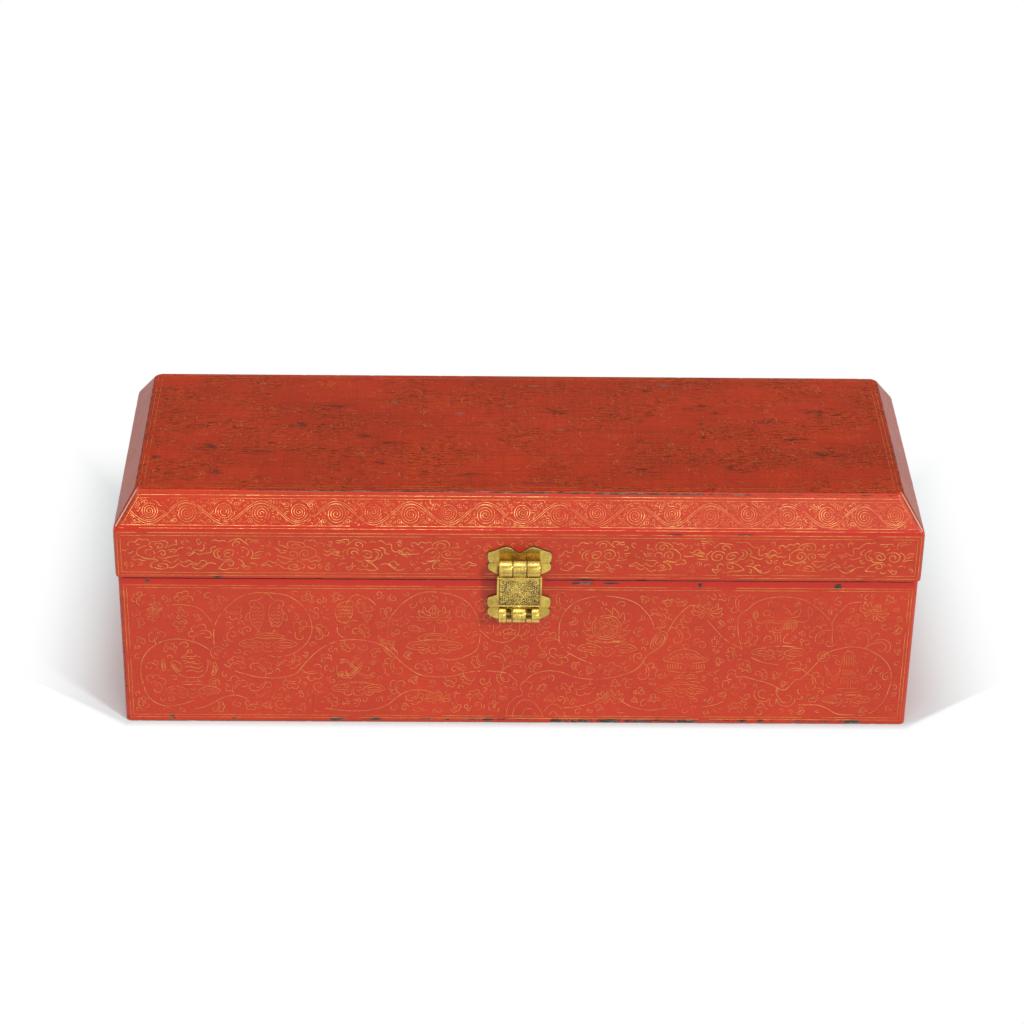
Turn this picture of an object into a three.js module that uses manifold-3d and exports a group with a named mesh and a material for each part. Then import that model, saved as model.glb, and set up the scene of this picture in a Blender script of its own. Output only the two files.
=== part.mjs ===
// A lacquer sutra box: a long wooden box with a bevelled lid.
// The lid swings on two brass hinges behind, and a brass hasp on its front hangs over a lock plate.
// Millimetres, +Z up, +X along the length, -Y to the front.
// The origin is the centre of the case's underside.

import * as THREE from "three";
import { mergeVertices } from "three/addons/utils/BufferGeometryUtils.js";
import Module from "manifold-3d";

const wasm = await Module();
wasm.setup();

// Case and lid
const caseLength = 405;
const caseDepth = 141;
const caseHeight = 88;
const lidOverhang = 1;
const seamGap = 0.4;
const lidWallHeight = 29;
const bevelHeight = 17;
const bevelInset = 11;

// Boards of the wooden core, and the glue between them
const caseBoardThick = 7;
const lidBoardThick = 7;
const topPanelThick = 7;
const floorThick = 7;
const floorTongueThick = 4;
const floorHousing = 3.5;
const glueLine = 0.3;

// Rounding of the lacquered edges, measured along each side of the edge
const cornerRound = 2.4;
const footRound = 0.8;
const caseRimRound = 1.2;
const lidRimRound = 0.8;
const ridgeRound = 2;
const crownRound = 1.6;

// Cusped brass plates, with heights measured from the plate's own datum line
const plateThick = 1.2;
const plateWidth = 32.4;
const peakRise = 9.4;
const notchRise = 5.2;
const shoulderRise = 5;
const waistDrop = 1.1;
const waistNick = 0.9;
const plateDrop = 7.2;
const peakShare = 0.45;
const footShare = 0.68;
const notchCurveShares = [0.2, 0.08];
const peakCurveShares = [0.72, 0.9];
const footCurveShares = [1.03, 0.86];

// Hasp: its hinge axis above the seam, and the axis of the lock knuckles below it
const haspAxisAboveSeam = 11.4;
const lockAxisBelowSeam = 16.1;
const haspKnuckleRadius = 4.5;
const haspKnuckleWidth = 6.7;
const haspPinRadius = 1.9;
const lockBoreRadius = 2.4;
const lockReliefWidth = 2.7;
const haspWidth = 22.6;
const haspThick = 1.3;
const haspRimWidth = 0.8;
const haspRimRise = 0.5;
const haspSetBack = 0.2;
const haspCornerRound = 1.2;
const haspEndGap = 0.5;

// Hinges behind
const hingeSpacing = 230;
const hingeKnuckleRadius = 3.6;
const hingeKnuckleWidth = 6.9;
const hingePinRadius = 1.5;
const leafGap = 0.8;

// Running clearances and roots of the brass knuckles
const knuckleGap = 0.3;
const boreClearance = 0.3;
const standOff = 0.35;
const edgeBreak = 0.45;
const rootHeight = 3;

// Clinched pins that hold the plates through the boards
const clinchInset = 4.2;
const clinchRadius = 0.9;
const clinchClearance = 0.3;
const roveRadius = 3;
const roveThick = 0.6;
const burrRadius = 1.6;
const burrThick = 0.5;

// Facets, and the overrun of every cut
const cornerSteps = 5;
const edgeSteps = 3;
const curveSteps = 5;
const knuckleSides = 28;
const pinSides = 16;
const overrun = 2;

// Sizes that follow
const halfLength = caseLength / 2;
const halfDepth = caseDepth / 2;
const lidHalfLength = halfLength + lidOverhang;
const lidHalfDepth = halfDepth + lidOverhang;
const lidBase = caseHeight + seamGap;
const ridgeHeight = caseHeight + lidWallHeight;
const crownHeight = ridgeHeight + bevelHeight;
const panelBase = crownHeight - topPanelThick;
const haspAxisY = -(lidHalfDepth + plateThick + standOff + haspKnuckleRadius);
const haspAxisZ = caseHeight + haspAxisAboveSeam;
const lockAxisZ = caseHeight - lockAxisBelowSeam;
const hingeAxisY = lidHalfDepth + plateThick + standOff + hingeKnuckleRadius;
const hingeAxisZ = caseHeight + seamGap / 2;
const leafRise = plateDrop + leafGap;
const sides = [
  ["left", -1],
  ["right", 1],
];

// Finishes
const redLacquer = { color: 0xc23a2c, roughness: 0.3, metalness: 0 };
const innerLacquer = { color: 0x8e2a20, roughness: 0.45, metalness: 0 };
const brass = { color: 0xc8a748, roughness: 0.32, metalness: 1 };
const pinBrass = { color: 0xa98a3c, roughness: 0.4, metalness: 1 };

// Solids and meshes

// A closed geometry as a solid that can be joined and cut.
function solid(geometry) {
  const bare = geometry.clone();
  bare.deleteAttribute("normal");
  bare.deleteAttribute("uv");
  const merged = mergeVertices(bare);
  return new wasm.Manifold(
    new wasm.Mesh({
      numProp: 3,
      vertProperties: new Float32Array(merged.attributes.position.array),
      triVerts: new Uint32Array(merged.index.array),
    }),
  );
}

// A named mesh of a solid, with a material of its own and flat facets.
function piece(name, made, finish) {
  const { vertProperties, triVerts } = made.getMesh();
  const indexed = new THREE.BufferGeometry();
  indexed.setAttribute("position", new THREE.BufferAttribute(vertProperties, 3));
  indexed.setIndex(new THREE.BufferAttribute(triVerts, 1));
  const geometry = indexed.toNonIndexed();
  geometry.computeVertexNormals();
  const mesh = new THREE.Mesh(geometry, new THREE.MeshStandardMaterial(finish));
  mesh.name = name;
  return mesh;
}

function joined(solids) {
  return solids.reduce((sum, next) => sum.add(next));
}

function cut(made, tools) {
  return tools.reduce((rest, tool) => rest.subtract(tool), made);
}

// A box from its low corner to its high one.
function block(low, high) {
  const size = high.map((value, axis) => value - low[axis]);
  const geometry = new THREE.BoxGeometry(...size);
  geometry.translate(...low.map((value, axis) => value + size[axis] / 2));
  return solid(geometry);
}

// An upright prism over a flat outline.
function prism(points, low, high) {
  const shape = new THREE.Shape(points.map(([x, y]) => new THREE.Vector2(x, y)));
  const geometry = new THREE.ExtrudeGeometry(shape, { depth: high - low, bevelEnabled: false });
  geometry.translate(0, 0, low);
  return solid(geometry);
}

// A rod along X about its middle.
function rod(radius, length, centre) {
  const geometry = new THREE.CylinderGeometry(radius, radius, length, pinSides);
  geometry.rotateZ(Math.PI / 2);
  geometry.translate(...centre);
  return solid(geometry);
}

// A turned solid on the Y axis, from a profile of [radius, height] that climbs.
function turned(profile, facets) {
  return new THREE.LatheGeometry(profile.map(([x, y]) => new THREE.Vector2(x, y)), facets);
}

// A barrel along X with its edges broken.
function barrel(radius, width, centre) {
  const half = width / 2;
  const geometry = turned(
    [
      [0, -half],
      [radius - edgeBreak, -half],
      [radius, edgeBreak - half],
      [radius, half - edgeBreak],
      [radius - edgeBreak, half],
      [0, half],
    ],
    knuckleSides,
  );
  geometry.rotateZ(Math.PI / 2);
  geometry.translate(...centre);
  return solid(geometry);
}

// One level of a loft: a rectangle seen from above, with rounded corners where round is over zero.
function ring(halfX, halfY, round, z) {
  const quarters = [[1, 1], [-1, 1], [-1, -1], [1, -1]];
  const steps = round > 0 ? cornerSteps : 0;
  return quarters.flatMap(([signX, signY], quarter) =>
    Array.from({ length: steps + 1 }, (_, step) => {
      const turn = (quarter + step / Math.max(steps, 1)) * (Math.PI / 2);
      const x = signX * (halfX - round) + round * Math.cos(turn);
      const y = signY * (halfY - round) + round * Math.sin(turn);
      return [x, y, z];
    }),
  );
}

// A closed solid through rings of equal count, from the lowest to the highest.
function loft(rings) {
  const count = rings[0].length;
  const index = [];
  for (let base = 0; base < (rings.length - 1) * count; base += count)
    for (let at = 0; at < count; at++) {
      const next = (at + 1) % count;
      index.push(base + at, base + next, base + count + next);
      index.push(base + at, base + count + next, base + count + at);
    }
  const top = (rings.length - 1) * count;
  for (let at = 1; at + 1 < count; at++) {
    index.push(0, at + 1, at);
    index.push(top, top + at, top + at + 1);
  }
  const geometry = new THREE.BufferGeometry();
  geometry.setAttribute("position", new THREE.Float32BufferAttribute(rings.flat(2), 3));
  geometry.setIndex(index);
  return solid(geometry);
}

// An upright outline of [inset, height, rounding] corners with each inner corner softened.
// Its first and last corners only give the direction of the flat faces below and above.
function softened(corners) {
  const at = corners.map(([inset, height]) => new THREE.Vector2(inset, height));
  const toward = (here, other, length) => at[other].clone().sub(at[here]).setLength(length).add(at[here]);
  return corners.flatMap(([, , round], here) => {
    if (here === 0 || here === corners.length - 1) return [];
    const before = toward(here, here - 1, round);
    const after = toward(here, here + 1, round);
    return new THREE.QuadraticBezierCurve(before, at[here], after).getPoints(edgeSteps);
  });
}

// A block with rounded corners whose four sides follow one upright outline.
function lacqueredBlock(halfX, halfY, corners) {
  const levels = softened(corners);
  return loft(levels.map(({ x: inset, y: z }) => ring(halfX - inset, halfY - inset, cornerRound, z)));
}

// The four sectors of a rectangular frame, split at 45 degrees through its outer corners.
// The long sides stop a glue line short of each mitre.
function mitredSectors(halfX, halfY, reach, low, high) {
  const outer = [halfX + overrun, halfY + overrun];
  const inner = [halfX - reach, halfY - reach];
  const long = (sign) => [
    [glueLine - outer[0], sign * outer[1]],
    [outer[0] - glueLine, sign * outer[1]],
    [inner[0] - glueLine, sign * inner[1]],
    [glueLine - inner[0], sign * inner[1]],
  ];
  const short = (sign) => [
    [sign * outer[0], -outer[1]],
    [sign * outer[0], outer[1]],
    [sign * inner[0], inner[1]],
    [sign * inner[0], -inner[1]],
  ];
  return {
    front: prism(long(-1), low, high),
    back: prism(long(1), low, high),
    left: prism(short(-1), low, high),
    right: prism(short(1), low, high),
  };
}

// Clinched pins

// The plates in order: name, body, middle in X, height of the pins, outer face of the board,
// thickness of the board and the direction into the box.
function clinchRow(plate, body, centreX, z, faceY, boardThick, inward) {
  return sides.map(([side, sign]) => ({
    name: `${plate}_clinch_${side}`,
    body,
    x: centreX + sign * (plateWidth / 2 - clinchInset),
    z,
    faceY,
    boardThick,
    inward,
  }));
}

const clinches = [
  ...clinchRow("hasp_plate", "lid", 0, haspAxisZ, -lidHalfDepth, lidBoardThick, 1),
  ...clinchRow("lock_plate", "case", 0, lockAxisZ, -halfDepth, caseBoardThick, 1),
  ...sides.flatMap(([side, sign]) => {
    const x = sign * (hingeSpacing / 2);
    const lidZ = hingeAxisZ + leafRise;
    const caseZ = hingeAxisZ - leafRise;
    return [
      ...clinchRow(`${side}_hinge_lid_leaf`, "lid", x, lidZ, lidHalfDepth, lidBoardThick, -1),
      ...clinchRow(`${side}_hinge_case_leaf`, "case", x, caseZ, halfDepth, caseBoardThick, -1),
    ];
  }),
];

// A pin from the back of its plate through the board, burred over a rove inside.
function clinchPin({ x, z, faceY, boardThick, inward }) {
  const roveTop = boardThick + roveThick;
  const geometry = turned(
    [
      [0, 0],
      [clinchRadius, 0],
      [clinchRadius, boardThick],
      [roveRadius, boardThick],
      [roveRadius, roveTop],
      [burrRadius, roveTop],
      [clinchRadius, roveTop + burrThick],
      [0, roveTop + burrThick],
    ],
    pinSides,
  );
  if (inward < 0) geometry.rotateX(Math.PI);
  geometry.translate(x, faceY, z);
  return solid(geometry);
}

function clinchHoles(body) {
  return clinches
    .filter((clinch) => clinch.body === body)
    .map(({ x, z, faceY, boardThick, inward }) => {
      const radius = clinchRadius + clinchClearance;
      const length = boardThick + 2 * overrun;
      const geometry = new THREE.CylinderGeometry(radius, radius, length, pinSides);
      geometry.translate(x, faceY + inward * (boardThick / 2), z);
      return solid(geometry);
    });
}

function clinchPieces(body) {
  return clinches
    .filter((clinch) => clinch.body === body)
    .map((clinch) => piece(clinch.name, clinchPin(clinch), pinBrass));
}

// Case

function caseBoards() {
  const inner = [halfLength - caseBoardThick, halfDepth - caseBoardThick];
  const housed = inner.map((half) => half + floorHousing);
  const blank = lacqueredBlock(halfLength, halfDepth, [
    [caseBoardThick, 0],
    [0, 0, footRound],
    [0, caseHeight, caseRimRound],
    [caseBoardThick, caseHeight],
  ]);
  const well = block([-inner[0], -inner[1], -overrun], [inner[0], inner[1], caseHeight + overrun]);
  const rabbetTop = floorTongueThick + glueLine;
  const rabbet = block([-housed[0], -housed[1], -overrun], [housed[0], housed[1], rabbetTop]);
  const frame = cut(blank, [well, rabbet, ...clinchHoles("case")]);
  const sectors = mitredSectors(
    halfLength,
    halfDepth,
    caseBoardThick + overrun,
    -overrun,
    caseHeight + overrun,
  );
  const boards = Object.entries(sectors).map(([side, sector]) =>
    piece(`case_${side}_board`, frame.intersect(sector), redLacquer),
  );
  // The floor's tongue lies in the rabbet, and its raised field fills the well.
  const slab = (halves, thick) => {
    const [x, y] = halves.map((half) => half - glueLine);
    return block([-x, -y, 0], [x, y, thick]);
  };
  const floor = slab(housed, floorTongueThick).add(slab(inner, floorThick));
  return [...boards, piece("case_floor_board", floor, innerLacquer)];
}

// Lid

function lidBoards() {
  const blank = lacqueredBlock(lidHalfLength, lidHalfDepth, [
    [lidBoardThick, lidBase],
    [0, lidBase, lidRimRound],
    [0, ridgeHeight, ridgeRound],
    [bevelInset, crownHeight, crownRound],
    [bevelInset + lidBoardThick, crownHeight],
  ]);
  // The bevelled rails are as thick as the walls, measured square to the bevel.
  const lean = bevelInset / bevelHeight;
  const railWidth = lidBoardThick * Math.hypot(1, lean);
  const innerRidge = ridgeHeight - (railWidth - lidBoardThick) / lean;
  const innerCrown = railWidth + (panelBase - ridgeHeight) * lean;
  const level = (inset, z) => ring(lidHalfLength - inset, lidHalfDepth - inset, 0, z);
  const hollow = loft([
    level(lidBoardThick, lidBase - overrun),
    level(lidBoardThick, innerRidge),
    level(innerCrown, panelBase),
  ]);
  const shell = cut(blank, [hollow, ...clinchHoles("lid")]);
  const sectors = (low, high) =>
    Object.entries(mitredSectors(lidHalfLength, lidHalfDepth, innerCrown + overrun, low, high));
  const panelSpace = block(
    [-lidHalfLength, -lidHalfDepth, panelBase],
    [lidHalfLength, lidHalfDepth, crownHeight + overrun],
  );
  return [
    ...sectors(lidBase - overrun, ridgeHeight).map(([side, sector]) =>
      piece(`lid_${side}_wall`, shell.intersect(sector), redLacquer),
    ),
    ...sectors(ridgeHeight + glueLine, panelBase - glueLine).map(([side, sector]) =>
      piece(`lid_${side}_rail`, shell.intersect(sector), redLacquer),
    ),
    piece("lid_top_panel", blank.intersect(panelSpace), redLacquer),
  ];
}

// Brass plates and knuckles

// The right half of a plate's cusped outline, from the notch between its peaks to its foot.
function cuspedHalf() {
  const half = plateWidth / 2;
  const notch = new THREE.Vector2(0, notchRise);
  const peak = new THREE.Vector2(half * peakShare, peakRise);
  const shoulder = new THREE.Vector2(half, shoulderRise);
  const waist = new THREE.Vector2(half - waistNick, -waistDrop);
  const foot = new THREE.Vector2(half * footShare, -plateDrop);
  const along = ([across, up], low, high) => new THREE.Vector2(half * across, low + (high - low) * up);
  const bends = [
    [notch, along(notchCurveShares, notchRise, peakRise), peak],
    [peak, along(peakCurveShares, shoulderRise, peakRise), shoulder],
    [shoulder, new THREE.Vector2(half, 0), waist],
    [waist, along(footCurveShares, -waistDrop, -plateDrop), foot],
  ];
  return bends.flatMap((bend, order) => {
    const points = new THREE.QuadraticBezierCurve(...bend).getPoints(curveSteps);
    return order ? points.slice(1) : points;
  });
}

// A cusped plate on a face: centreX and datumZ place it, backY is the face and outward its side.
// Its peaks point up, or down where up is -1.
function cuspedPlate(centreX, datumZ, backY, outward, up) {
  const right = cuspedHalf();
  const left = right.slice(1).reverse().map((point) => new THREE.Vector2(-point.x, point.y));
  const outline = [...right, ...left].map((point) => new THREE.Vector2(point.x, point.y * up));
  const geometry = new THREE.ExtrudeGeometry(new THREE.Shape(outline), {
    depth: plateThick,
    bevelEnabled: false,
  });
  geometry.rotateX(Math.PI / 2);
  geometry.translate(centreX, outward > 0 ? backY + plateThick : backY, datumZ);
  return solid(geometry);
}

// A knuckle on a plate: its barrel, and the root that joins the barrel to the plate.
// The root spans the given heights, measured from the axis.
function rootedKnuckle(radius, width, centre, plateBackY, rootLow, rootHigh) {
  const [x, y, z] = centre;
  const plateMiddle = plateBackY + Math.sign(y - plateBackY) * (plateThick / 2);
  const root = block(
    [x - width / 2 + edgeBreak, Math.min(y, plateMiddle), z + rootLow],
    [x + width / 2 - edgeBreak, Math.max(y, plateMiddle), z + rootHigh],
  );
  return barrel(radius, width, centre).add(root);
}

// The places of three knuckles side by side, as offsets from the middle one.
function knucklePitch(width) {
  return width + knuckleGap;
}

// Hasp and its two plates

function haspPlate() {
  const knuckles = sides.map(([, sign]) =>
    rootedKnuckle(
      haspKnuckleRadius,
      haspKnuckleWidth,
      [sign * knucklePitch(haspKnuckleWidth), haspAxisY, haspAxisZ],
      -lidHalfDepth,
      -rootHeight / 2,
      rootHeight / 2,
    ),
  );
  const plate = joined([cuspedPlate(0, haspAxisZ, -lidHalfDepth, -1, 1), ...knuckles]);
  return plate.subtract(rod(haspPinRadius + boreClearance, plateWidth, [0, haspAxisY, haspAxisZ]));
}

// The lock knuckles lose their upper inner quarter, so that the hasp's knuckle drops in between.
function lockPlate() {
  const frontY = -halfDepth - plateThick;
  const parts = sides.map(([, sign]) => {
    const centreX = sign * knucklePitch(haspKnuckleWidth);
    const innerX = centreX - sign * (haspKnuckleWidth / 2);
    const [lowX, highX] = [innerX - sign * knuckleGap, innerX + sign * lockReliefWidth].sort((a, b) => a - b);
    const relief = block(
      [lowX, haspAxisY - haspKnuckleRadius - overrun, lockAxisZ],
      [highX, frontY, lockAxisZ + haspKnuckleRadius + overrun],
    );
    return rootedKnuckle(
      haspKnuckleRadius,
      haspKnuckleWidth,
      [centreX, haspAxisY, lockAxisZ],
      -halfDepth,
      -rootHeight / 2,
      rootHeight / 2,
    ).subtract(relief);
  });
  const plate = joined([cuspedPlate(0, lockAxisZ, -halfDepth, -1, 1), ...parts]);
  return plate.subtract(rod(lockBoreRadius, plateWidth, [0, haspAxisY, lockAxisZ]));
}

// The swinging plate, modelled about its own hinge axis.
function hasp() {
  const drop = lockAxisZ - haspAxisZ;
  const topZ = -(haspKnuckleRadius + haspEndGap);
  const footZ = drop + haspKnuckleRadius + haspEndGap;
  const backY = haspSetBack;
  const groundY = backY - haspThick;
  const frontY = groundY - haspRimRise;
  const panel = (inset, round, nearY, farY) => {
    const halfX = haspWidth / 2 - inset;
    const [low, high] = [footZ + inset, topZ - inset];
    const shape = new THREE.Shape();
    shape.moveTo(-halfX, high);
    shape.lineTo(-halfX, low + round);
    shape.quadraticCurveTo(-halfX, low, round - halfX, low);
    shape.lineTo(halfX - round, low);
    shape.quadraticCurveTo(halfX, low, halfX, low + round);
    shape.lineTo(halfX, high);
    const geometry = new THREE.ExtrudeGeometry(shape, {
      depth: farY - nearY,
      bevelEnabled: false,
      curveSegments: cornerSteps,
    });
    geometry.rotateX(Math.PI / 2);
    geometry.translate(0, farY, 0);
    return solid(geometry);
  };
  const plate = panel(0, haspCornerRound, frontY, backY);
  const ground = panel(haspRimWidth, haspCornerRound - haspRimWidth / 2, frontY - overrun, groundY);
  const halfNeck = haspKnuckleWidth / 2;
  const neck = (low, high) => block([-halfNeck, groundY, low], [halfNeck, backY, high]);
  const body = joined([
    plate.subtract(ground),
    neck(topZ - haspRimWidth, 0),
    neck(drop, footZ + haspRimWidth),
    barrel(haspKnuckleRadius, haspKnuckleWidth, [0, 0, 0]),
    barrel(haspKnuckleRadius, haspKnuckleWidth, [0, 0, drop]),
  ]);
  return cut(body, [
    rod(haspPinRadius + boreClearance, haspWidth, [0, 0, 0]),
    rod(lockBoreRadius, haspWidth, [0, 0, drop]),
  ]);
}

// Hinges behind, modelled about the axis of their pin

function hingeLeaf(onLid) {
  const up = onLid ? 1 : -1;
  const faceY = (onLid ? lidHalfDepth : halfDepth) - hingeAxisY;
  const [rootLow, rootHigh] = [leafGap * up, (leafGap + rootHeight) * up].sort((a, b) => a - b);
  const places = onLid ? [0] : [-1, 1];
  const knuckles = places.map((place) =>
    rootedKnuckle(
      hingeKnuckleRadius,
      hingeKnuckleWidth,
      [place * knucklePitch(hingeKnuckleWidth), 0, 0],
      faceY,
      rootLow,
      rootHigh,
    ),
  );
  const leaf = joined([cuspedPlate(0, leafRise * up, faceY, 1, up), ...knuckles]);
  return leaf.subtract(rod(hingePinRadius + boreClearance, plateWidth, [0, 0, 0]));
}

function pinThrough(radius, knuckleWidth) {
  return rod(radius, 3 * knuckleWidth + 2 * knuckleGap, [0, 0, 0]);
}

// Assembly

const caseGroup = new THREE.Group();
caseGroup.add(...caseBoards(), piece("lock_plate", lockPlate(), brass), ...clinchPieces("case"));

const haspGroup = new THREE.Group();
haspGroup.position.set(0, haspAxisY, haspAxisZ);
haspGroup.add(
  piece("hasp", hasp(), brass),
  piece("hasp_pin", pinThrough(haspPinRadius, haspKnuckleWidth), pinBrass),
);

const lidGroup = new THREE.Group();
lidGroup.add(...lidBoards(), piece("hasp_plate", haspPlate(), brass), haspGroup, ...clinchPieces("lid"));

const hinges = sides.map(([side, sign]) => {
  const hinge = new THREE.Group();
  hinge.position.set(sign * (hingeSpacing / 2), hingeAxisY, hingeAxisZ);
  hinge.add(
    piece(`${side}_hinge_lid_leaf`, hingeLeaf(true), brass),
    piece(`${side}_hinge_case_leaf`, hingeLeaf(false), brass),
    piece(`${side}_hinge_pin`, pinThrough(hingePinRadius, hingeKnuckleWidth), pinBrass),
  );
  return hinge;
});

const sutraBox = new THREE.Group();
sutraBox.name = "lacquer_sutra_box";
sutraBox.add(caseGroup, lidGroup, ...hinges);

export default sutraBox;
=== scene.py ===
# %% [markdown]
# # A lacquer sutra box
# A long wooden box for a folded sutra. Its wood is hidden under red lacquer, and every side is
# engraved with fine lines that were filled with gold. The lid swings on two brass hinges behind,
# and a brass hasp on the front hangs over a lock plate.
#
# A box like this could be modelled freely, but this one already has an exact model with its moving
# parts. Blender loads that model and gives it the skin, the ornament, the wear and the light.

import math
import random

import bpy
import numpy as np
from mathutils import Matrix, Vector, noise


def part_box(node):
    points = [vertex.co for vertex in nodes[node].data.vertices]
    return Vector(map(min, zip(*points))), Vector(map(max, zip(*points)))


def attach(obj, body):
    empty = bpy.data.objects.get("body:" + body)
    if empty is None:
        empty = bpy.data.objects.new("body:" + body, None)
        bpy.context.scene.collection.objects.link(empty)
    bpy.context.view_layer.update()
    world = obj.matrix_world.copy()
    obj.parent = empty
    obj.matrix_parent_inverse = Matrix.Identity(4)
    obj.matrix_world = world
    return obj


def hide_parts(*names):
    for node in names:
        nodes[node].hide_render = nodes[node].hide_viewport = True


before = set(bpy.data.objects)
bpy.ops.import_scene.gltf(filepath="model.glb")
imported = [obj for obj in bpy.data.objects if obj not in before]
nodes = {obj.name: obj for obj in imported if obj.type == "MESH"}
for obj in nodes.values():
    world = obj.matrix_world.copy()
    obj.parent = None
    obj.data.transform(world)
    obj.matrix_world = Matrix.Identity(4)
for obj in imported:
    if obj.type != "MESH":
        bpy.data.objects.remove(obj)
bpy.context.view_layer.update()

# %% [markdown]
# ## Sizes
# The sizes could be typed again, but two lists of sizes soon drift apart. So the outer ones are
# read from the corners of the exact model, and only what no corner tells is typed: the boards'
# thickness, the bevel's slope and the rounding. All drawing here is in millimetres, and `MM` turns
# it into metres at the very end.

# %% Sizes read from the model
MM = 0.001


def side_of(node, corner, axis):
    """One coordinate of a node's lowest (0) or highest (1) corner, in millimetres."""
    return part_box(node)[corner][axis] / MM


def middle_of(node, axis):
    return (side_of(node, 0, axis) + side_of(node, 1, axis)) / 2


case_half = (side_of("case_right_board", 1, 0), side_of("case_back_board", 1, 1))
case_top = side_of("case_right_board", 1, 2)
floor_top = side_of("case_floor_board", 1, 2)
lid_half = (side_of("lid_right_wall", 1, 0), side_of("lid_back_wall", 1, 1))
lid_base = side_of("lid_right_wall", 0, 2)
ridge = side_of("lid_front_wall", 1, 2)
crown = side_of("lid_top_panel", 1, 2)
board = 7.0
bevel_inset = 11.0
corner_round = 2.4
print("case:", np.round(case_half, 1), round(case_top, 1))
print("lid:", np.round(lid_half, 1), round(crown, 1))

# %% [markdown]
# ## Camera
# The camera could be moved by eye until the picture looks right. Here it comes from a fit: the
# box's corners were found in the photograph, and the view that puts the model's corners on them
# was solved. The same view is then used the other way round, to carry a point of the photograph
# onto a face of the box, so that the ornament lies where it really is.

# %% The camera of the photograph
FRAME_PX = 1024
FOCAL_PX = 3039.0
SENSOR = 36.0
azimuth, elevation, roll = (math.radians(a) for a in (-1.33, 31.03, 1.04))
target = np.array([-2.61, 0.0, 85.47])
distance = 1597.6

back = np.array([
    math.sin(azimuth) * math.cos(elevation),
    -math.cos(azimuth) * math.cos(elevation),
    math.sin(elevation),
])
level_right = np.cross([0, 0, 1], back)
level_right /= np.linalg.norm(level_right)
level_up = np.cross(back, level_right)
right = math.cos(roll) * level_right + math.sin(roll) * level_up
up = -math.sin(roll) * level_right + math.cos(roll) * level_up
eye = target + back * distance

camera_data = bpy.data.cameras.new("camera")
camera_data.sensor_width = SENSOR
camera_data.lens = FOCAL_PX * SENSOR / FRAME_PX
camera_data.clip_end = 100
camera = bpy.data.objects.new("camera", camera_data)
pose = Matrix.Identity(4)
for row in range(3):
    pose[row] = (right[row], up[row], back[row], eye[row] * MM)
camera.matrix_world = pose
bpy.context.scene.collection.objects.link(camera)
bpy.context.scene.camera = camera
print("lens:", round(camera_data.lens, 1), "mm, eye:", np.round(eye, 0), "mm")


# %% [markdown]
# ## Faces
# Each flat face of the box gets a small drawing plane of its own: an origin, the direction across
# and the direction up, seen from outside. Strokes are drawn in the plane's two numbers and laid on
# the face afterwards. Drawing in space from the start would work too, but then every ornament
# would have to know which way its face leans.

# %% A drawing plane for each face
class Face:
    """A flat side of the box, in millimetres: across and up as seen from outside."""

    def __init__(self, origin, across, up, field=None, foot=0.0):
        self.origin = np.array(origin, float)
        self.across = np.array(across, float)
        self.up = np.array(up, float) / np.linalg.norm(up)
        self.out = np.cross(self.across, self.up)
        self.field = field  # its half width below, its half width above, its height
        self.foot = foot

    def lay(self, points):
        """Carries (across, up, out) onto the box."""
        points = np.asarray(points, float)
        return self.origin + points @ np.array([self.across, self.up, self.out])

    def traced(self, *pixels):
        """Carries pixels of the photograph onto the face, as (across, up)."""
        found = []
        for x, y in pixels:
            sight = right * (x - FRAME_PX / 2) / FOCAL_PX + up * (FRAME_PX / 2 - y) / FOCAL_PX
            sight = sight - back
            reach = np.dot(self.origin - eye, self.out) / np.dot(sight, self.out)
            offset = eye + sight * reach - self.origin
            found.append((np.dot(offset, self.across), np.dot(offset, self.up)))
        return np.array(found)


def four_sides(half_x, half_y, base, top, lean=0.0):
    """The four upright or leaning faces round the box."""
    rise = top - base
    height = math.hypot(rise, lean)
    long, short = (half_x, half_x - lean, height), (half_y, half_y - lean, height)
    return {
        "front": Face((0, -half_y, base), (1, 0, 0), (0, lean, rise), long),
        "back": Face((0, half_y, base), (-1, 0, 0), (0, -lean, rise), long),
        "right": Face((half_x, 0, base), (0, 1, 0), (-lean, 0, rise), short),
        "left": Face((-half_x, 0, base), (0, -1, 0), (lean, 0, rise), short),
    }


case_faces = four_sides(*case_half, 0.0, case_top)
lid_faces = four_sides(*lid_half, lid_base, ridge)
bevel_faces = four_sides(*lid_half, ridge, crown, bevel_inset)
top_half = (lid_half[0] - bevel_inset, lid_half[1] - bevel_inset)
top_field = (top_half[0], top_half[0], 2 * top_half[1])
top_face = Face((0, 0, crown), (1, 0, 0), (0, 1, 0), top_field, -top_half[1])
print("bevel height:", round(bevel_faces["front"].field[2], 1), "mm")


# %% [markdown]
# ## Writing materials as sums
# Shader nodes are usually joined by hand. In a script a small wrapper reads better: `Wire` stands
# for one output of a node and understands plus, minus and times, so a mask can be written as a
# sum. `Recipe.node` makes any other node from its type, its settings, which are set first, and the
# values or wires of its sockets.

# %% Wires and recipes
class Wire:
    """One output of a shader node, which can stand in a sum."""

    def __init__(self, recipe, socket):
        self.recipe, self.socket = recipe, socket

    def of(self, name):
        return Wire(self.recipe, self.socket.node.outputs[name])

    def maths(self, operation, first, second):
        return self.recipe.node("ShaderNodeMath", {"operation": operation}, {0: first, 1: second})

    def __add__(self, other):
        return self.maths("ADD", self, other)

    def __sub__(self, other):
        return self.maths("SUBTRACT", self, other)

    def __rsub__(self, other):
        return self.maths("SUBTRACT", other, self)

    def __mul__(self, other):
        return self.maths("MULTIPLY", self, other)

    def __gt__(self, other):
        return self.maths("GREATER_THAN", self, other)

    def __lt__(self, other):
        return self.maths("LESS_THAN", self, other)

    def larger(self, other):
        return self.maths("MAXIMUM", self, other)

    __radd__ = __add__
    __rmul__ = __mul__


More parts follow.
